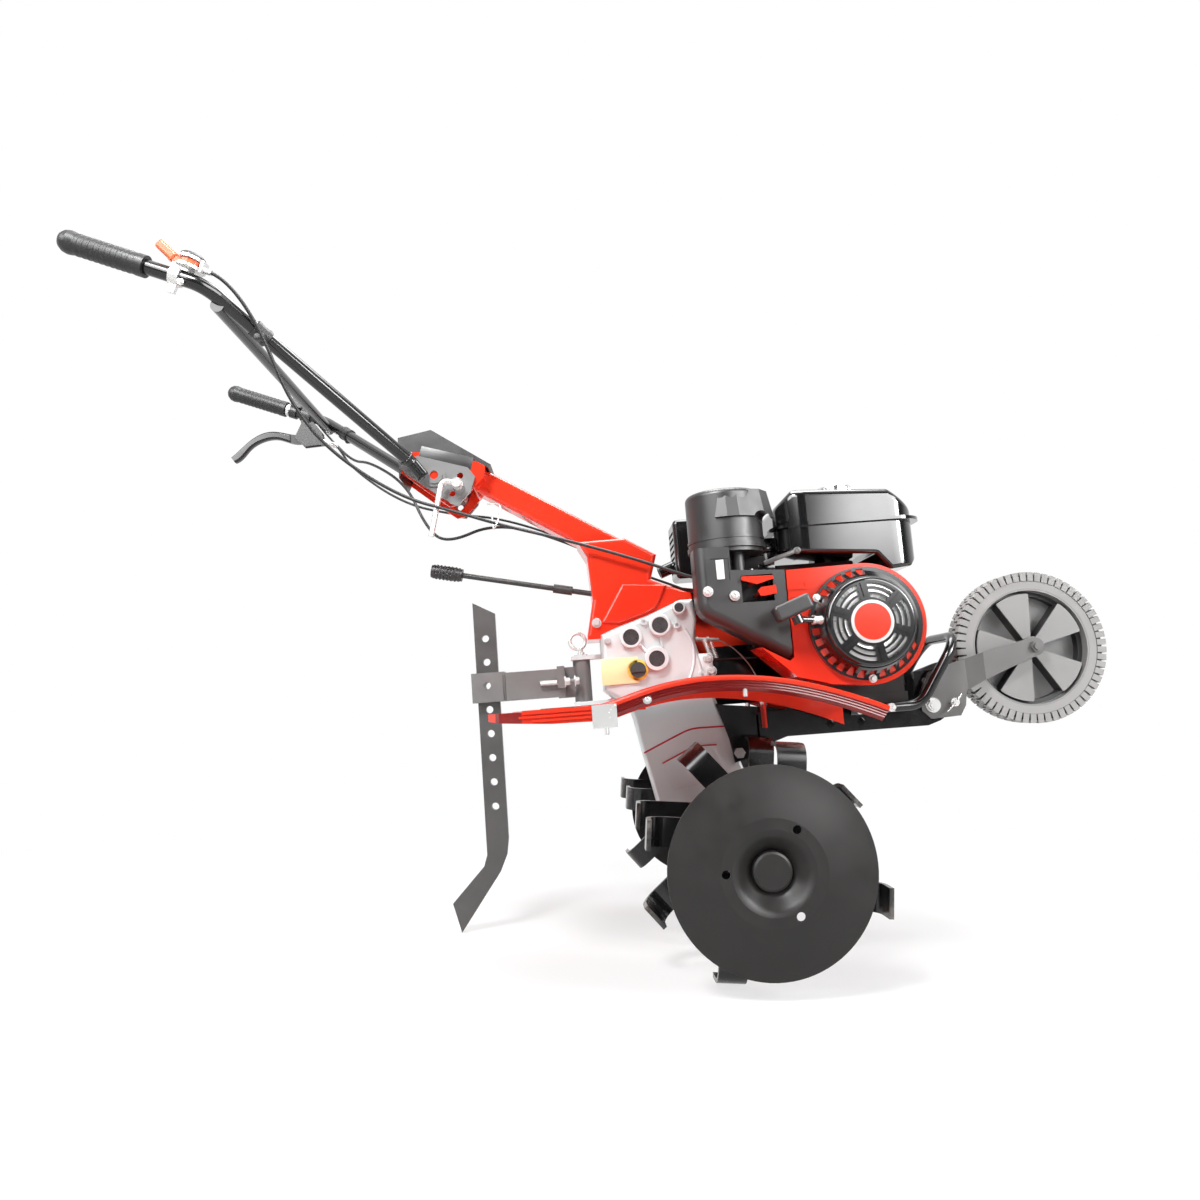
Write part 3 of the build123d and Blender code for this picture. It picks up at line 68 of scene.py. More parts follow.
to_right = along(0, -1, 0)
to_left = along(0, 1, 0)

# Colours of the finishes
red_paint_colour = (0.74, 0.036, 0.013)
black_paint_colour = (0.006, 0.006, 0.0065)
satin_paint_colour = (0.075, 0.073, 0.072)
# painted sheen: light grey laid on the black pivot plates of the handle
plate_sheen_colour = (0.24, 0.24, 0.24)
black_plastic_colour = (0.020, 0.020, 0.0205)
tank_colour = (0.007, 0.007, 0.0075)
rubber_colour = (0.018, 0.018, 0.0185)
# painted light: light grey for the tyre's black rubber
tyre_lit_colour = (0.27, 0.265, 0.26)
# painted reflection: light grey for the wheel rim's black plastic
rim_sheen_colour = (0.21, 0.207, 0.204)
rim_shade_colour = (0.018, 0.018, 0.018)
cast_colour = (0.60, 0.64, 0.645)
pressed_colour = (0.60, 0.60, 0.60)
zinc_colour = (0.70, 0.70, 0.69)
chrome_colour = (0.80, 0.80, 0.81)
plain_steel_colour = (0.30, 0.29, 0.28)
bare_steel_colour = (0.32, 0.28, 0.25)
orange_colour = (0.92, 0.17, 0.07)
yellow_colour = (0.86, 0.62, 0.06)
# painted shade for the band of the fenders' outer lip
lip_shade_colour = (0.20, 0.009, 0.008)
cream_colour = (0.88, 0.80, 0.44)
sealant_colour = (0.42, 0.012, 0.018)
plug_colour = (0.045, 0.045, 0.047)
insert_colour = (0.80, 0.80, 0.79)
disc_colour = (0.014, 0.0128, 0.0122)
dark_cast_colour = (0.03, 0.03, 0.03)
# painted reflection: grey for the wheel fork's black paint
fork_sheen_colour = (0.105, 0.102, 0.10)
bracket_colour = (0.045, 0.0445, 0.044)
cable_colour = (0.012, 0.012, 0.0125)
# painted reflection: grey for the drag arm's satin black paint
arm_sheen_colour = (0.15, 0.148, 0.146)


# Materials
def fresh_material(name):
    m = bpy.data.materials.new(name)
    m.use_nodes = True
    nodes = m.node_tree.nodes
    nodes.clear()
    out = nodes.new("ShaderNodeOutputMaterial")
    skin = nodes.new("ShaderNodeBsdfPrincipled")
    m.node_tree.links.new(skin.outputs["BSDF"], out.inputs["Surface"])
    return m, nodes, m.node_tree.links, skin


def noise(nodes, links, place, scale, detail=4.0, rough=0.55):
    n = nodes.new("ShaderNodeTexNoise")
    n.inputs["Scale"].default_value = scale
    n.inputs["Detail"].default_value = detail
    n.inputs["Roughness"].default_value = rough
    links.new(place.outputs["Object"], n.inputs["Vector"])
    return n


def spread(nodes, links, source, low, high):
    r = nodes.new("ShaderNodeMapRange")
    r.inputs["From Min"].default_value = 0.3
    r.inputs["From Max"].default_value = 0.7
    r.inputs["To Min"].default_value = low
    r.inputs["To Max"].default_value = high
    links.new(source, r.inputs["Value"])
    return r.outputs["Result"]


def tint(nodes, links, factor, a, b):
    mix = nodes.new("ShaderNodeMix")
    mix.data_type = "RGBA"
    mix.inputs["A"].default_value = (*a, 1)
    mix.inputs["B"].default_value = (*b, 1)
    links.new(factor, mix.inputs["Factor"])
    return mix.outputs["Result"]


def shade(colour, k):
    return tuple(min(1.0, c * k) for c in colour)


def finish(name, colour, rough, metal=0.0, coat=0.0, spec=0.5, patch=9.0, vary=0.18, grain=700.0, bump=0.05,
           depth=0.0002):
    """A surface with broad colour patches, a fine grain and an uneven gloss."""
    m, nodes, links, skin = fresh_material(name)
    place = nodes.new("ShaderNodeTexCoord")
    broad = noise(nodes, links, place, patch)
    fine = noise(nodes, links, place, grain, 3.0)
    links.new(tint(nodes, links, spread(nodes, links, broad.outputs["Fac"], 0.0, 1.0),
                   shade(colour, 1 - vary), shade(colour, 1 + vary)), skin.inputs["Base Color"])
    gloss = noise(nodes, links, place, patch * 4)
    uneven = spread(nodes, links, gloss.outputs["Fac"], rough * 0.85, rough * 1.18)
    links.new(uneven, skin.inputs["Roughness"])
    push = nodes.new("ShaderNodeBump")
    push.inputs["Strength"].default_value = bump
    push.inputs["Distance"].default_value = depth
    links.new(fine.outputs["Fac"], push.inputs["Height"])
    links.new(push.outputs["Normal"], skin.inputs["Normal"])
    skin.inputs["Metallic"].default_value = metal
    skin.inputs["Specular IOR Level"].default_value = spec
    skin.inputs["Coat Weight"].default_value = coat
    skin.inputs["Coat Roughness"].default_value = 0.06
    return m


def parts_of(m):
    nodes = m.node_tree.nodes
    links = m.node_tree.links
    skin = next(n for n in nodes if n.type == "BSDF_PRINCIPLED")
    place = next(n for n in nodes if n.type == "TEX_COORD")
    return nodes, links, skin, place


def axis_gap(nodes, links, place, centre, normal):
    """Distance from the axis through centre along normal, and the place along that axis."""
    shift = nodes.new("ShaderNodeVectorMath")
    shift.operation = "SUBTRACT"
    links.new(place.outputs["Object"], shift.inputs[0])
    shift.inputs[1].default_value = centre
    lift = nodes.new("ShaderNodeVectorMath")
    lift.operation = "DOT_PRODUCT"
    links.new(shift.outputs["Vector"], lift.inputs[0])
    lift.inputs[1].default_value = normal
    across = nodes.new("ShaderNodeVectorMath")
    across.operation = "CROSS_PRODUCT"
    links.new(shift.outputs["Vector"], across.inputs[0])
    across.inputs[1].default_value = normal
    size = nodes.new("ShaderNodeVectorMath")
    size.operation = "LENGTH"
    links.new(across.outputs["Vector"], size.inputs[0])
    return size.outputs["Value"], lift.outputs["Value"]


def step(nodes, links, value, edge, soft):
    """0 below the edge, 1 above it."""
    r = nodes.new("ShaderNodeMapRange")
    r.interpolation_type = "SMOOTHSTEP"
    r.inputs["From Min"].default_value = edge - soft
    r.inputs["From Max"].default_value = edge + soft
    links.new(value, r.inputs["Value"])
    return r.outputs["Result"]


def maths(nodes, links, operation, a, b=None):
    m = nodes.new("ShaderNodeMath")
    m.operation = operation
    links.new(a, m.inputs[0])
    if b is not None:
        links.new(b, m.inputs[1])
    return m.outputs["Value"]


def inverse(nodes, links, a):
    m = nodes.new("ShaderNodeMath")
    m.operation = "SUBTRACT"
    m.inputs[0].default_value = 1.0
    links.new(a, m.inputs[1])
    return m.outputs["Value"]


def repaint(m, factor, colour):
    """Lays another colour over the base where factor is 1."""
    nodes, links, skin, _ = parts_of(m)
    mix = nodes.new("ShaderNodeMix")
    mix.data_type = "RGBA"
    links.new(skin.inputs["Base Color"].links[0].from_socket, mix.inputs["A"])
    mix.inputs["B"].default_value = (*colour, 1)
    links.new(factor, mix.inputs["Factor"])
    links.new(mix.outputs["Result"], skin.inputs["Base Color"])


def set_by(m, socket, factor, low, high):
    """Sets a socket between two values by a factor from 0 to 1."""
    nodes, links, skin, _ = parts_of(m)
    r = nodes.new("ShaderNodeMapRange")
    r.inputs["To Min"].default_value = low
    r.inputs["To Max"].default_value = high
    links.new(factor, r.inputs["Value"])
    links.new(r.outputs["Result"], skin.inputs[socket])


red_paint = finish("red_paint", red_paint_colour, 0.22, coat=0.5, spec=0.3, vary=0.04, grain=260, bump=0.012)
black_paint = finish("black_paint", black_paint_colour, 0.16, coat=0.2, vary=0.1, grain=500, bump=0.004)
satin_paint = finish("satin_paint", satin_paint_colour, 0.34, vary=0.1, patch=14, grain=600, bump=0.025)
black_plastic = finish("black_plastic", black_plastic_colour, 0.38, spec=0.6, vary=0.08, grain=1400,
                       bump=0.008)
tank_paint = finish("tank_paint", tank_colour, 0.10, coat=0.6, vary=0.1, grain=300, bump=0.002)
rubber = finish("grip_rubber", rubber_colour, 0.42, vary=0.08, grain=1600, bump=0.006)
cast = finish("cast_aluminium", cast_colour, 0.42, metal=0.4, patch=8, vary=0.05, grain=900, bump=0.10,
              depth=0.0003)
dark_cast = finish("dark_cast", dark_cast_colour, 0.6, spec=0.1, patch=25, vary=0.1, grain=900, bump=0.05)
pressed = finish("pressed_aluminium", pressed_colour, 0.36, metal=0.3, patch=12, vary=0.05, grain=500,
                 bump=0.03)
zinc = finish("zinc_plate", zinc_colour, 0.26, metal=0.55, patch=6, vary=0.05, grain=900, bump=0.003)
chrome = finish("chrome_cap", chrome_colour, 0.16, metal=0.9, patch=6, vary=0.05, grain=900, bump=0.008)
plain_steel = finish("plain_steel", plain_steel_colour, 0.40, metal=0.5, patch=40, vary=0.12, grain=900,
                     bump=0.04)
orange = finish("orange_plastic", orange_colour, 0.32, coat=0.2, spec=0.3, vary=0.05, grain=900, bump=0.015)
red_plastic = finish("red_plastic", red_paint_colour, 0.32, coat=0.2, spec=0.3, vary=0.05, grain=900,
                     bump=0.015)
sealant = finish("sealant", sealant_colour, 0.45, vary=0.1, grain=900, bump=0.06)
plug_rubber = finish("plug_rubber", plug_colour, 0.3, patch=90, vary=0.3, grain=900, bump=0.03)
pale_plastic = finish("pale_plastic", insert_colour, 0.4, vary=0.04, grain=900, bump=0.02)
# painted reflection: the wheel fork's black paint is given a grey base
fork_sheen_paint = finish("fork_sheen_paint", fork_sheen_colour, 0.36, vary=0.08, grain=500, bump=0.02)
bracket_paint = finish("bracket_paint", bracket_colour, 0.40, vary=0.08, grain=700, bump=0.004)
cable_skin = finish("cable_skin", cable_colour, 0.4, vary=0.1, grain=900, bump=0.004)
disc_paint = finish("disc_paint", disc_colour, 0.40, spec=0.3, vary=0.1, grain=900, bump=0.004)
# painted reflection: the drag arm's black paint is given a grey base
arm_sheen_paint = finish("arm_sheen_paint", arm_sheen_colour, 0.40, vary=0.1, patch=14, grain=600, bump=0.025)

# Fenders: red, with painted shade: the band of the outer lip is painted dark red, as if it lay in shade
fender_paint = finish("fender_paint", red_paint_colour, 0.22, coat=0.5, spec=0.3, vary=0.04, grain=260,
                      bump=0.012)
nodes, links, skin, place = parts_of(fender_paint)
apart = nodes.new("ShaderNodeSeparateXYZ")
links.new(place.outputs["Object"], apart.inputs["Vector"])
side = maths(nodes, links, "ABSOLUTE", apart.outputs["Y"])
lip_from = 0.2830
lip_to = 0.2968
lip_shade_mask = maths(nodes, links, "MULTIPLY", step(nodes, links, side, lip_from, 0.0006),
            inverse(nodes, links, step(nodes, links, side, lip_to, 0.0006)))
repaint(fender_paint, lip_shade_mask, lip_shade_colour)

# Oil tag: cream card, yellow round the oil cap
tag_card = finish("tag_card", cream_colour, 0.4, vary=0.04, grain=900, bump=0.05)
nodes, links, skin, place = parts_of(tag_card)
near_cap, _ = axis_gap(nodes, links, place, at(-126, 0, 271), (0, 1, 0))
yellow_r = 0.017
repaint(tag_card, inverse(nodes, links, step(nodes, links, near_cap, yellow_r, 0.002)), yellow_colour)

# Recoil cover: black moulding with a bare red disc in a bright ring
recoil_face = finish("recoil_face", tank_colour, 0.16, coat=0.5, vary=0.1, grain=900, bump=0.003)
recoil_x = 216
recoil_z = 312.5
recoil_centre = at(recoil_x, 0, recoil_z)
nodes, links, skin, place = parts_of(recoil_face)
gap, lift = axis_gap(nodes, links, place, recoil_centre, (0, -1, 0))
hub_face = 0.1885
hub_ring_r = 0.0325
hub_disc_r = 0.0275
front = step(nodes, links, lift, hub_face, 0.0004)
inside_ring = inverse(nodes, links, step(nodes, links, gap, hub_ring_r, 0.0003))
inside_disc = inverse(nodes, links, step(nodes, links, gap, hub_disc_r, 0.0004))
ring = maths(nodes, links, "MULTIPLY", front, inside_ring)
disc = maths(nodes, links, "MULTIPLY", front, inside_disc)
repaint(recoil_face, ring, zinc_colour)
repaint(recoil_face, disc, red_paint_colour)
set_by(recoil_face, "Metallic", maths(nodes, links, "SUBTRACT", ring, disc), 0.0, 0.5)

# Handle halves: black tube; the pivot plate, black paint like the tube, is painted lighter grey as a painted
# sheen
handle_paint = finish("handle_paint", black_paint_colour, 0.18, coat=0.25, vary=0.1, grain=500, bump=0.003)
handle_pivot = Vector(joints["handle_height"]["pos_m"])
nodes, links, skin, place = parts_of(handle_paint)
gap, lift = axis_gap(nodes, links, place, handle_pivot, (0, 1, 0))
side = maths(nodes, links, "ABSOLUTE", lift)
plate_out = 0.0615
plate_r = 0.078
plate_sheen_mask = maths(nodes, links, "MULTIPLY",
                   inverse(nodes, links, step(nodes, links, side, plate_out, 0.0004)),
                   inverse(nodes, links, step(nodes, links, gap, plate_r, 0.001)))
repaint(handle_paint, plate_sheen_mask, plate_sheen_colour)

# Transport wheel: the black rim and tyre painted light grey as a painted reflection, the rim's flanks and the
# grooves between the tread blocks painted dark as painted shade
rim = finish("wheel_rim", rim_sheen_colour, 0.42, vary=0.08, grain=900, bump=0.03)
wheel_centre = Vector(joints["wheel_spin"]["pos_m"])
nodes, links, skin, place = parts_of(rim)
gap, lift = axis_gap(nodes, links, place, wheel_centre, (0, 1, 0))
flat = maths(nodes, links, "ABSOLUTE", lift)
web_half = 0.0116
web_r = 0.0945
web_shade_mask = maths(nodes, links, "MULTIPLY", inverse(nodes, links, step(nodes, links, flat, web_half, 0.0003)),
            inverse(nodes, links, step(nodes, links, gap, web_r, 0.0006)))
repaint(rim, web_shade_mask, rim_shade_colour)
# painted light: the black rubber tyre is given a light grey; painted shade darkens the sidewall between the
# tread blocks
tyre = finish("tyre_tread", tyre_lit_colour, 0.6, vary=0.08, grain=1300, bump=0.08)
nodes, links, skin, place = parts_of(tyre)
gap, lift = axis_gap(nodes, links, place, wheel_centre, (0, 1, 0))
flat = maths(nodes, links, "ABSOLUTE", lift)
groove_half = 0.0188
groove_top_r = 0.1214
groove_foot_r = 0.1106
groove_shade_mask = maths(nodes, links, "MULTIPLY", inverse(nodes, links, step(nodes, links, flat, groove_half, 0.0002)),
               inverse(nodes, links, step(nodes, links, gap, groove_top_r, 0.0002)))
groove_shade_mask = maths(nodes, links, "MULTIPLY", groove_shade_mask, step(nodes, links, gap, groove_foot_r, 0.0002))
repaint(tyre, groove_shade_mask, rim_shade_colour)

# Tines: black paint, the tips rubbed to bare steel
tines = finish("tine_paint", black_paint_colour, 0.24, coat=0.2, vary=0.15, grain=420, bump=0.04)
nodes, links, skin, place = parts_of(tines)
gap, lift = axis_gap(nodes, links, place, axle, (0, 1, 0))
worn_from_r = 0.158
worn = maths(nodes, links, "MULTIPLY", step(nodes, links, gap, worn_from_r, 0.005),
             spread(nodes, links, noise(nodes, links, place, 90).outputs["Fac"], 0.0, 0.55))
repaint(tines, worn, bare_steel_colour)

# The finish of each node
looks = {
    red_paint: ("handle_column", "blower_housing"),
    fender_paint: ("fender_right", "fender_left"),
    black_paint: ("main_frame", "bumper_loop", "handle_brace", "clutch_lever", "muffler"),
    satin_paint: ("drag_stake",),
    arm_sheen_paint: ("drag_arm",),
    handle_paint: ("handle_right", "handle_left"),
    black_plastic: ("dash_cover", "air_elbow", "air_cleaner_cup", "starter_grip", "oil_cap", "shift_rod",
                    "stop_switch"),
    plug_rubber: ("case_plugs",),
    bracket_paint: ("clutch_bracket",),
    tank_paint: ("fuel_tank",),
    rubber: ("grips", "drive_belt", "throttle_cable", "left_cables"),
    cast: ("gearbox_right", "gearbox_left", "flywheel", "input_pulley"),
    dark_cast: ("engine_block", "cylinder_head", "carburettor"),
    pressed: ("chain_case",),
    zinc: ("frame_bolts", "lock_pin", "hitch_pin", "throttle_housing", "lock_lever", "shaft_bearings"),
    chrome: ("tank_cap",),
    plain_steel: ("crankshaft", "input_shaft", "output_shaft", "idler_arm", "tine_shaft", "drive_chain"),
    orange: ("throttle_lever",),
    red_plastic: ("choke_lever", "fuel_lever", "stop_button", "belt_guard"),
    recoil_face: ("recoil_cover",),
    rim: ("wheel_rim",),
    tyre: ("wheel_tyre",),
    tines: ("inner_tines", "outer_tines"),
    disc_paint: ("side_discs",),
    fork_sheen_paint: ("wheel_fork",),
}
for look, names in looks.items():
    for name in names:
        frame["nodes"][name].data.materials.clear()
        frame["nodes"][name].data.materials.append(look)


# Modelling helpers
def deselect():
    if bpy.context.object and bpy.context.object.mode != "OBJECT":
        bpy.ops.object.mode_set(mode="OBJECT")
    bpy.ops.object.select_all(action="DESELECT")


def begin(name):
    """An empty mesh at the origin, open for editing."""
    deselect()
    bpy.ops.object.add(type="MESH")
    piece = bpy.context.object
    piece.name = name
    bpy.ops.object.mode_set(mode="EDIT")
    return piece


def settle(piece, look, body, smooth=35):
    """Closes the edit, turns the faces outwards, shades the piece and lets it ride on its body."""
    bpy.ops.mesh.select_all(action="SELECT")
    bpy.ops.mesh.normals_make_consistent(inside=False)
    bpy.ops.object.mode_set(mode="OBJECT")
    bpy.ops.object.shade_smooth_by_angle(angle=math.radians(smooth))
    piece.data.materials.append(look)
    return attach(piece, body)


def turn_to(direction):
    return Vector((0, 0, 1)).rotation_difference(direction).to_euler()


def turned(rings, place, direction, sides=32):
    """Adds a turned shape to the open mesh: rings of (radius, height) from place along direction."""
    radius, height = rings[0]
    bpy.ops.mesh.primitive_circle_add(vertices=sides, radius=radius * mm, fill_type="NGON",
                                      location=place + direction * height * mm, rotation=turn_to(direction))
    for wider, higher in rings[1:]:
        bpy.ops.mesh.extrude_region_move(TRANSFORM_OT_translate={"value": direction * (higher - height) * mm})
        k = wider / radius
        bpy.ops.transform.resize(value=(k, k, k), center_override=place + direction * higher * mm)
        radius = wider
        height = higher


def block(place, size, soft, turn=(0, -stand_tilt, 0)):
    """Adds a block with soft edges to the open mesh, its sides along the machine's axes."""
    bpy.ops.mesh.primitive_cube_add(size=1, location=place, rotation=turn, scale=[s * mm for s in size])
    bpy.ops.mesh.bevel(offset=soft * mm, segments=2, affect="EDGES")


def hex_head(place, direction, flat, height, washer=1.5):
    """Adds a bolt head to the open mesh: a chamfered hexagon on a round washer."""
    wide = flat * 0.78
    turned([(wide, -0.4), (wide, washer - 0.4), (wide - 0.4, washer)], place, direction)
    corner = flat / math.sqrt(3)
    head = [(corner, washer - 0.2), (corner, washer + height * 0.8), (corner * 0.86, washer + height)]
    turned(head, place, direction, 6)


def pan_head(place, direction, radius, washer=1.2):
    """Adds a round screw head on its washer, with a recess in its top."""
    turned([(radius, -0.5), (radius, washer - 0.3), (radius - 0.3, washer)], place, direction)
    cap = radius * 0.72
    turned([(cap, washer - 0.2), (cap, washer + cap * 0.3), (cap * 0.86, washer + cap * 0.52),
            (cap * 0.55, washer + cap * 0.62), (cap * 0.34, washer + cap * 0.62),
            (cap * 0.22, washer + cap * 0.36)], place, direction)


def bolts(name, places, flat, height, body, direction=to_right):
    piece = begin(name)
    for p in places:
        hex_head(at(*p), direction, flat, height)
    return settle(piece, zinc, body)


def screws(name, places, radius, body, direction=to_right):
    piece = begin(name)
    for p in places:
        pan_head(at(*p), direction, radius)
    return settle(piece, zinc, body)


def cord_line(name, route):
    """The points of a smooth line with the route's points as its control points."""
    curve = bpy.data.curves.new(name, "CURVE")
    curve.dimensions = "3D"
    curve.resolution_u = 12
    spline = curve.splines.new("NURBS")
    spline.points.add(len(route) - 1)
    for p, q in zip(spline.points, route):
        p.co = (*q, 1)
    spline.order_u = 3
    spline.use_endpoint_u = True
    piece = bpy.data.objects.new(name, curve)
    bpy.context.scene.collection.objects.link(piece)
    bpy.context.view_layer.update()
    mesh = bpy.data.meshes.new_from_object(piece)
    line = [v.co.copy() for v in mesh.vertices]
    bpy.data.objects.remove(piece)
    bpy.data.meshes.remove(mesh)
    return line


def cord_tube(name, line, radius, look, closed=False, swell=None):
    """A round tube along a line in the row frame, swelling by the factors in swell."""
    curve = bpy.data.curves.new(name, "CURVE")
    curve.dimensions = "3D"
    curve.bevel_depth = radius
    curve.bevel_resolution = 4
    curve.use_fill_caps = True
    spline = curve.splines.new("POLY")
    spline.points.add(len(line) - 1)
    for p, q in zip(spline.points, line):
        p.co = (*q, 1)
    if swell:
        for p, k in zip(spline.points, swell):
            p.radius = k
    spline.use_cyclic_u = closed
    piece = bpy.data.objects.new(name, curve)
    bpy.context.scene.collection.objects.link(piece)
    deselect()
    piece.select_set(True)
    bpy.context.view_layer.objects.active = piece
    bpy.ops.object.convert(target="MESH")
    piece = bpy.context.object
    bpy.ops.object.shade_smooth_by_angle(angle=math.radians(60))
    piece.data.materials.clear()
    piece.data.materials.append(look)
    return piece


def wire(name, route, radius, look, body):
    """A bent wire or bead along a smooth route of the machine."""
    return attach(cord_tube(name, cord_line(name, [at(*p) for p in route]), radius * mm, look), body)


def coil_spring(name, start, end, radius, wire_r, turns, body):
    """A close-wound spring from start to end."""
    axis = (end - start).normalized()
    side = axis.cross(Vector((0, 1, 0))).normalized()
    other = axis.cross(side)
    steps = turns * 14
    line = []
    for i in range(steps + 1):
        a = 2 * math.pi * turns * i / steps
        out_way = side * math.cos(a) + other * math.sin(a)
        line.append(start + (end - start) * (i / steps) + out_way * radius * mm)
    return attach(cord_tube(name, line, wire_r * mm, zinc), body)


def weld_ring(name, centre, axis, radius, bead, look, body):
    """A weld bead round a tube, in small scales."""
    side = axis.cross(Vector((0, 0, 1))).normalized()
    other = axis.cross(side)
    count = 72
    line = []
    for i in range(count):
        a = 2 * math.pi * i / count
        line.append(centre + (side * math.cos(a) + other * math.sin(a)) * radius * mm)
    swell = [1.0 + 0.22 * math.sin(2 * math.pi * 18 * i / count) for i in range(count)]
    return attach(cord_tube(name, line, bead * mm, look, True, swell), body)


def control_cable(name, route, radius, look, *nodes):
    """A cable from the handlebar into the machine, in place of the CAD nodes that it hides."""
    line = cord_line(name, [at(*p) for p in route])
    piece = cord_tube(name, line, radius * mm, look)
    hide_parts(*nodes)
    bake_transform(piece)
    return piece


# Cables: rubber-covered, bending between the column and the handlebar
throttle_route = [(-688.4, -301, 853.3), (-667, -297, 842), (-636, -262, 782), (-611, -232, 690),
                  (-566, -190, 622), (-480, -112, 566), (-401, -68, 547), (-331, -60, 522), (-235, -62, 492),
                  (-109, -62, 448), (-20, -58, 410), (32.7, -74.5, 395.5)]
clutch_route = [(-676, 305, 782), (-646, 286, 744), (-590, 200, 716), (-505, 100, 640), (-472, 76, 556),
                (-436, 66, 520), (-345, 58, 552), (-222, 58, 508), (-100, 62, 436), (-20, 66, 398),
                (10, 70, 372), (60, 71, 346), (119, 71.8, 322)]
stop_route = [(-752, 320, 884), (-716, 326, 832), (-680, 322, 786), (-640, 262, 722), (-514, 104, 606),
              (-417, 80, 574), (-339, 74, 562), (-225, 70, 516), (-100, 72, 444), (-40, 70, 418),
              (10, 72, 394), (48, 72, 379), (59.1, 64, 382), (59.1, 54.5, 382.7)]
cable_r = 2.6
stop_wire_r = 2.2
control_cable("throttle_cable_run", throttle_route, cable_r, cable_skin, "throttle_cable")
control_cable("clutch_cable_run", clutch_route, cable_r, cable_skin, "left_cables")
control_cable("stop_wire_run", stop_route, stop_wire_r, cable_skin, "left_cables")

# Air cleaner: screws and the pale insert in its window
screws("elbow_screws", [(-17, -152, 378), (23, -152, 369)], 8, "chassis")
insert = begin("elbow_insert")
block(at(5, -148.2, 411), (12, 1.4, 30), 0.4)
for rib_z in (402, 411, 420):
    block(at(5, -149, rib_z), (9, 0.8, 1.6), 0.25)
settle(insert, pale_plastic, "chassis")

# Carburettor top: linkage plate with its two screws, governor lever, tank stay and the shroud below the tank
linkage = begin("carb_linkage_plate")
block(at(72, -86, 411), (44, 34, 5), 1.0)
block(at(86, -104, 415), (26, 3, 12), 0.8)
settle(linkage, black_paint, "chassis")
screws("carb_linkage_screws", [(64, -92, 413.5), (80, -92, 413.5)], 5, "chassis", along(0, 0, 1))
lever = begin("governor_lever")
block(at(107, -119.8, 428.5), (58, 3, 7), 1.2, (0, -stand_tilt - math.atan2(16.7, 53.6), 0))
turned([(5.5, -2.2), (5.5, 1.8), (4.6, 2.4), (2.2, 2.4), (2.0, 1.2)], at(133, -119.8, 436.5), to_right)
settle(lever, satin_paint, "chassis")
stay = begin("tank_stay")
block(at(94, -49, 438), (36, 6, 66), 2.0)
block(at(98, -57, 452), (20, 12, 8), 1.5)
settle(stay, black_paint, "chassis")
shroud = begin("cylinder_shroud")
block(at(165, -24, 413), (150, 64, 22), 3.0)
block(at(62, -60, 424), (60, 30, 30), 4.0)
settle(shroud, dark_cast, "chassis")

# A black plate between gearbox and engine, in front of the belt guard: a dark sheet put there for the shade in
# that gap
shade_plate = begin("engine_shade_plate")
block(at(64, 22, 254), (124, 3, 98), 1.0)
block(at(64, 20, 226), (112, 3, 6), 1.0)
block(at(64, 20, 282), (112, 3, 6), 1.0)
settle(shade_plate, black_paint, "chassis")

# Recoil starter: flange bolts, rope guide, red backing, fan screen and the rope
bolts("recoil_bolts", [(145, -160, 355.5), (216.7, -160, 229)], 8, 5, "chassis")
guide = begin("rope_guide")
guide_start = at(147, -172.2, 320.9)
pull_eye = at(107, -184, 323.5)
guide_run = (pull_eye - at(168, -166, 319.5)).normalized()
turned([(5.4, 0), (6.6, 1), (6.6, 4), (6.0, 4.6), (6.0, 13), (6.8, 14), (6.8, 17), (5.4, 18)],
       guide_start, guide_run)
settle(guide, zinc, "chassis")
backing = begin("recoil_backing")
turned([(84, 0), (84, 1.2), (83.4, 1.6)], at(recoil_x, -157, recoil_z), to_right, 64)
settle(backing, red_paint, "chassis")
screen = begin("fan_screen")
turned([(61, 0), (61, 0.7), (60.4, 1.0), (36, 1.0), (34, 0.6)], at(recoil_x, -182.4, recoil_z), to_right, 64)
settle(screen, zinc, "chassis")
pull_run = along(-0.34, 0, 0.94)
rope_line = [pull_eye + pull_run * (d * mm) for d in (-4, -2, 0, 2, 4, 6, 8, 10, 12)]
rope_r = 1.8
rope = cord_tube("starter_rope", rope_line, rope_r * mm, cable_skin)
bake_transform(rope)

# Gearbox: oil tag, selector ear with its bolts, rod, springs and wire, flange bolts, ridge, sealant in the seams
tag = begin("oil_tag")
turned([(17, 0), (17, 0.55), (16.6, 0.7)], at(-126, -59, 271), to_right, 40)
block(at(-155, -59.35, 271.5), (59, 0.7, 42), 0.2)
settle(tag, tag_card, "chassis")
ear = begin("selector_ear")
block(at(-16, -49, 270), (24, 7, 40), 2.0)
turned([(9, -52), (9, -44), (8.2, -43.2)], at(-12, 0, 281), to_left)
turned([(9, -52), (9, -44), (8.2, -43.2)], at(-8, 0, 261), to_left)
settle(ear, cast, "chassis")
bolts("selector_bolts", [(-12, -52, 281), (-8, -52, 261)], 10, 6, "chassis")
bolts("column_flange_bolts", [(-186, -48, 352)], 10, 6, "chassis")
bolts("gear_flange_bolts", [(-171, -55, 320)], 8, 5, "chassis")
rod = begin("selector_rod")
rod_run = along(46, 0, -4)
turned([(2.2, 0), (2.8, 0.6), (2.8, 8), (4.4, 8.4), (4.4, 12), (2.8, 12.4), (2.8, 26), (4.4, 26.4),
        (4.4, 30), (2.8, 30.4), (2.8, 46), (2.2, 46.6)], at(-36, -43, 315), rod_run, 20)
settle(rod, plain_steel, "chassis")
coil_spring("return_spring", at(-13.4, -42, 313), at(-5, -44, 284), 3.6, 0.7, 12, "chassis")
coil_spring("idle_spring", at(-3.6, -40, 312), at(4, -42, 282), 3.2, 0.6, 12, "chassis")
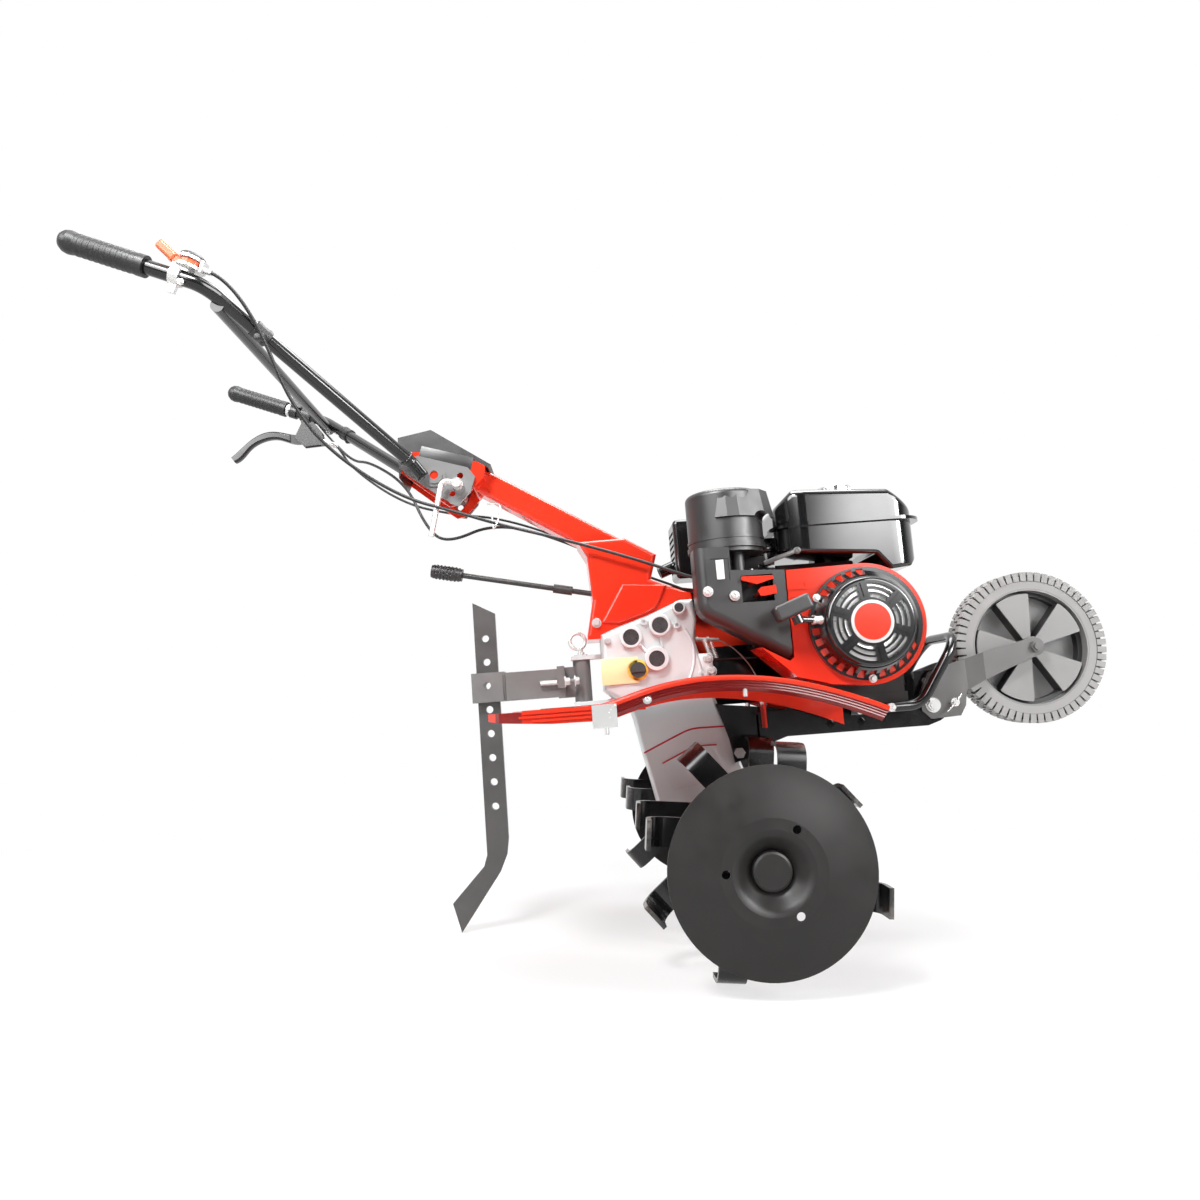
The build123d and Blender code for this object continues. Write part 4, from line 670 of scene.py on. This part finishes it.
wire("selector_wire", [(8, -43, 311), (24, -44, 304), (44, -43, 284), (60, -42, 262), (72, -44, 232),
                       (78, -46, 200)], 1.1, plain_steel, "chassis")
wire("case_ridge", [(-45, -54, 332), (-35, -55, 314), (-33, -55, 290), (-37, -55, 264), (-48, -54, 244)], 2.6,
     cast, "chassis")
seam = [(-125, 138), (-100, 149), (-72, 161), (-48, 171), (-20, 171.5), (11, 171)]
pad_top = [(-97, 119.5), (-70, 131), (-45, 142.5), (-25, 142.8), (-7, 142.5)]
for side_name, side in (("right", -1), ("left", 1)):
    wire("seam_bead_" + side_name, [(x, side * 31.6, z) for x, z in seam], 1.5, sealant, "chassis")
    wire("pad_bead_" + side_name, [(x, side * 34.2, z) for x, z in pad_top], 1.2, sealant, "chassis")

# Hitch: threaded studs and their nuts on both sides of the drag arm
stud_turns = []
for i in range(14):
    stud_turns += [(4.1, i * 2.0), (4.7, i * 2.0 + 1.0)]
for side_name, side in (("right", -29), ("left", 29)):
    stud = begin("hitch_stud_" + side_name)
    turned(stud_turns, at(-284, side, 262), along(1, 0, 0), 20)
    hex_head(at(-244, side, 262), along(1, 0, 0), 12, 7)
    hex_head(at(-228, side, 262), along(1, 0, 0), 12, 6)
    settle(stud, zinc, "drag_arm")
for side_name, side in (("right", -1), ("left", 1)):
    wire("arm_weld_" + side_name, [(-343, side * 23.4, 241), (-343.5, side * 24, 252), (-343, side * 24, 268),
                                   (-343, side * 23.4, 281)], 2.0, satin_paint, "drag_arm")

# Handlebar: cable clips, welds at the tube feet, clamp screw, throttle cap, cable adjuster and grip sleeve
tube_run = along(232, 235, -203)
far_run = along(232, -235, -203)
clip_rings = [(11.5, -13), (13.4, -12), (13.4, -7), (12.6, -6.4), (12.6, 6.4), (13.4, 7), (13.4, 12),
              (11.5, 13)]
for side_name, side, run in (("right", -1, tube_run), ("left", 1, far_run)):
    clip = begin("cable_clip_" + side_name)
    turned(clip_rings, at(-643, side * 244.5, 787), run)
    block(at(-641, side * 253, 778), (16, 12, 10), 2.0)
    settle(clip, rubber, "handlebar")
    weld_ring("foot_weld_" + side_name, at(-474, side * 73, 639), run, 11.2, 1.9, black_paint, "handlebar")
bolts("throttle_clamp_screw", [(-727, -312, 838)], 6, 4, "handlebar")
dome = begin("throttle_dome")
turned([(17.6, -0.3), (17.6, 1.2), (16.6, 3.2), (14.0, 5.2), (9.6, 6.7), (4.5, 7.4), (1.0, 7.5)],
       at(-713.6, -301.6, 875.3), along(0.3722, 0, 0.928), 40)
settle(dome, black_plastic, "handlebar")
adjuster = begin("cable_adjuster")
turned([(4.2, 0), (5.8, 0.6), (5.8, 5), (4.6, 5.6), (4.6, 19), (5.6, 19.6), (5.6, 25), (4.4, 25.6),
        (4.2, 29), (3.0, 30.8)], at(-705, 305, 797), along(27, 0, -14), 24)
settle(adjuster, zinc, "handlebar")
sleeve = begin("grip_sleeve")
sleeve_run = along(182, -4, -73)
turned([(11.0, 0), (11.9, 0.8), (11.9, 7), (11.0, 7.8)], at(-776, 302.7, 866.9), sleeve_run)
settle(sleeve, zinc, "handlebar")

# Column: the cover's skirts over the yoke, and the wire hook that holds the cables
for side_name, side in (("right", -50.5), ("left", 50.5)):
    skirt = begin("cover_skirt_" + side_name)
    block(at(-413, side, 642), (88, 0.8, 21), 0.3, (0, -stand_tilt + 0.295, 0))
    settle(skirt, black_plastic, "chassis")
wire("cable_hook", [(-352, -22, 566), (-338, -26, 566), (-330, -34, 560), (-330, -50, 544), (-333, -64, 530),
                    (-337, -68, 520), (-341, -60, 514), (-344, -52, 524), (-344, -44, 540)], 1.4, zinc,
     "chassis")

# Fender: studs under the lip and on the clip
studs = begin("fender_studs")
turned([(3.0, 0), (3.0, 10), (2.2, 11)], at(0, -286.5, 228), along(0, 0, -1), 20)
turned([(3.0, 0), (3.0, 9), (2.2, 10)], at(-190, -300, 191), along(0, 0, -1), 20)
settle(studs, zinc, "chassis")
screws("fender_screws", [(-133, -292, 223)], 6, "chassis")

# Shift knob: small moulded studs
studs = begin("knob_studs")
knob_run = along(265, 0, -57.5)
knob_start = at(-454, 0, 463.5)
knob_side = Vector((0, 1, 0))
knob_up = knob_run.cross(knob_side)
for row in range(6):
    for i in range(14):
        a = 2 * math.pi * (i + 0.5 * (row % 2)) / 14
        out_way = knob_side * math.cos(a) + knob_up * math.sin(a)
        row_middle = knob_start + knob_run * (9 + row * 6.2) * mm
        turned([(1.5, 11.2), (1.5, 11.9), (0.7, 12.5)], row_middle, out_way, 8)
settle(studs, black_plastic, "shift_rod")

# Floor, light and camera
floor_size = 14
floor_near = 0.55
floor_far = 1.7
floor_near_white = 0.72
bpy.ops.mesh.primitive_plane_add(size=floor_size, location=(0, 0, 0))
floor = bpy.context.object
floor.name = "floor"
floor_look, nodes, links, skin = fresh_material("floor_paper")
skin.inputs["Base Color"].default_value = (0.93, 0.93, 0.93, 1)
skin.inputs["Roughness"].default_value = 0.9
glow = nodes.new("ShaderNodeEmission")
rays = nodes.new("ShaderNodeLightPath")
seen = maths(nodes, links, "MAXIMUM", rays.outputs["Is Camera Ray"], rays.outputs["Is Glossy Ray"])
seen = maths(nodes, links, "MAXIMUM", seen, rays.outputs["Is Transmission Ray"])
place = nodes.new("ShaderNodeTexCoord")
reach = nodes.new("ShaderNodeVectorMath")
reach.operation = "LENGTH"
links.new(place.outputs["Object"], reach.inputs[0])
far_white = nodes.new("ShaderNodeMapRange")
far_white.interpolation_type = "SMOOTHSTEP"
far_white.inputs["From Min"].default_value = floor_near
far_white.inputs["From Max"].default_value = floor_far
far_white.inputs["To Min"].default_value = floor_near_white
far_white.inputs["To Max"].default_value = 1.0
links.new(reach.outputs["Value"], far_white.inputs["Value"])
mix = nodes.new("ShaderNodeMixShader")
links.new(maths(nodes, links, "MULTIPLY", seen, far_white.outputs["Result"]), mix.inputs["Fac"])
links.new(skin.outputs["BSDF"], mix.inputs[1])
links.new(glow.outputs["Emission"], mix.inputs[2])
out = next(n for n in nodes if n.type == "OUTPUT_MATERIAL")
links.new(mix.outputs["Shader"], out.inputs["Surface"])
floor.data.materials.append(floor_look)


def soft_lamp(name, place, target, size, watts):
    lamp = bpy.data.lights.new(name, "AREA")
    lamp.size = size
    lamp.energy = watts
    lamp_object = bpy.data.objects.new(name, lamp)
    lamp_object.location = place
    lamp_object.rotation_euler = (Vector(target) - Vector(place)).to_track_quat("-Z", "Y").to_euler()
    bpy.context.scene.collection.objects.link(lamp_object)


soft_lamp("key_box", (-0.9, -1.6, 2.2), (0, 0, 0.4), 0.6, 70)
soft_lamp("right_box", (1.9, -1.3, 1.2), (0.1, 0, 0.4), 0.5, 26)
soft_lamp("top_box", (0.1, 0.2, 2.5), (0, 0, 0.4), 1.4, 65)

# World: a white backdrop, darker in front of the machine, with two bright panels for glossy surfaces
world = bpy.data.worlds.new("studio")
bpy.context.scene.world = world
world.use_nodes = True
nodes = world.node_tree.nodes
links = world.node_tree.links
nodes.clear()
soft_fill = 0.07
dim = nodes.new("ShaderNodeBackground")
dim.inputs["Strength"].default_value = soft_fill
dim.inputs["Color"].default_value = (1, 1, 1, 1)
white = nodes.new("ShaderNodeBackground")
white.inputs["Color"].default_value = (1, 1, 1, 1)
room = nodes.new("ShaderNodeBackground")
room.inputs["Color"].default_value = (1, 1, 1, 1)
place = nodes.new("ShaderNodeTexCoord")
apart = nodes.new("ShaderNodeSeparateXYZ")
links.new(place.outputs["Generated"], apart.inputs["Vector"])
depth_light = nodes.new("ShaderNodeMapRange")
depth_light.interpolation_type = "SMOOTHSTEP"
depth_light.inputs["From Min"].default_value = -0.35
depth_light.inputs["From Max"].default_value = 0.25
depth_light.inputs["To Min"].default_value = 0.10
depth_light.inputs["To Max"].default_value = 1.0
links.new(apart.outputs["Y"], depth_light.inputs["Value"])


def edge_of(socket, low, high, first, last):
    """A smooth change from first to last where the socket passes from low to high."""
    r = nodes.new("ShaderNodeMapRange")
    r.interpolation_type = "SMOOTHSTEP"
    r.inputs["From Min"].default_value = low
    r.inputs["From Max"].default_value = high
    r.inputs["To Min"].default_value = first
    r.inputs["To Max"].default_value = last
    links.new(apart.outputs[socket], r.inputs["Value"])
    return r.outputs["Result"]


def softbox(left, right, low, high, level):
    """A bright panel in front of the machine, seen by glossy surfaces alone."""
    wide = maths(nodes, links, "MULTIPLY", edge_of("X", left - 0.03, left + 0.03, 0, 1),
                 edge_of("X", right - 0.03, right + 0.03, 1, 0))
    tall = maths(nodes, links, "MULTIPLY", edge_of("Z", low - 0.07, low + 0.07, 0, level),
                 edge_of("Z", high - 0.04, high + 0.04, 1, 0))
    front = maths(nodes, links, "MULTIPLY", tall, edge_of("Y", -0.2, -0.1, 1, 0))
    return maths(nodes, links, "MULTIPLY", wide, front)


right_panel = softbox(0.27, 0.80, 0.15, 0.62, 12.0)
left_panel = softbox(-0.85, -0.30, 0.20, 0.62, 11.0)
boxes = maths(nodes, links, "ADD", right_panel, left_panel)
boxes = maths(nodes, links, "ADD", boxes, edge_of("Z", 0.84, 0.90, 0, 1.0))
links.new(maths(nodes, links, "ADD", depth_light.outputs["Result"], boxes), room.inputs["Strength"])
rays = nodes.new("ShaderNodeLightPath")
glossy = nodes.new("ShaderNodeMixShader")
links.new(rays.outputs["Is Glossy Ray"], glossy.inputs["Fac"])
links.new(dim.outputs["Background"], glossy.inputs[1])
links.new(room.outputs["Background"], glossy.inputs[2])
mix = nodes.new("ShaderNodeMixShader")
straight = maths(nodes, links, "MAXIMUM", rays.outputs["Is Camera Ray"], rays.outputs["Is Transmission Ray"])
links.new(straight, mix.inputs["Fac"])
links.new(glossy.outputs["Shader"], mix.inputs[1])
links.new(white.outputs["Background"], mix.inputs[2])
out = nodes.new("ShaderNodeOutputWorld")
links.new(mix.outputs["Shader"], out.inputs["Surface"])

camera_from_axle = Vector((-0.24198, -1.5, 0.20536))
camera_pitch = 6.65
camera_turn = -1.4
camera = bpy.data.objects.new("photo_camera", bpy.data.cameras.new("photo_camera"))
camera.data.lens = 27
camera.data.sensor_width = 36
camera.location = axle + camera_from_axle
camera.rotation_euler = (math.radians(90 + camera_pitch), 0, math.radians(camera_turn))
bpy.context.scene.collection.objects.link(camera)
bpy.context.scene.camera = camera
bpy.context.scene.view_settings.view_transform = "Standard"
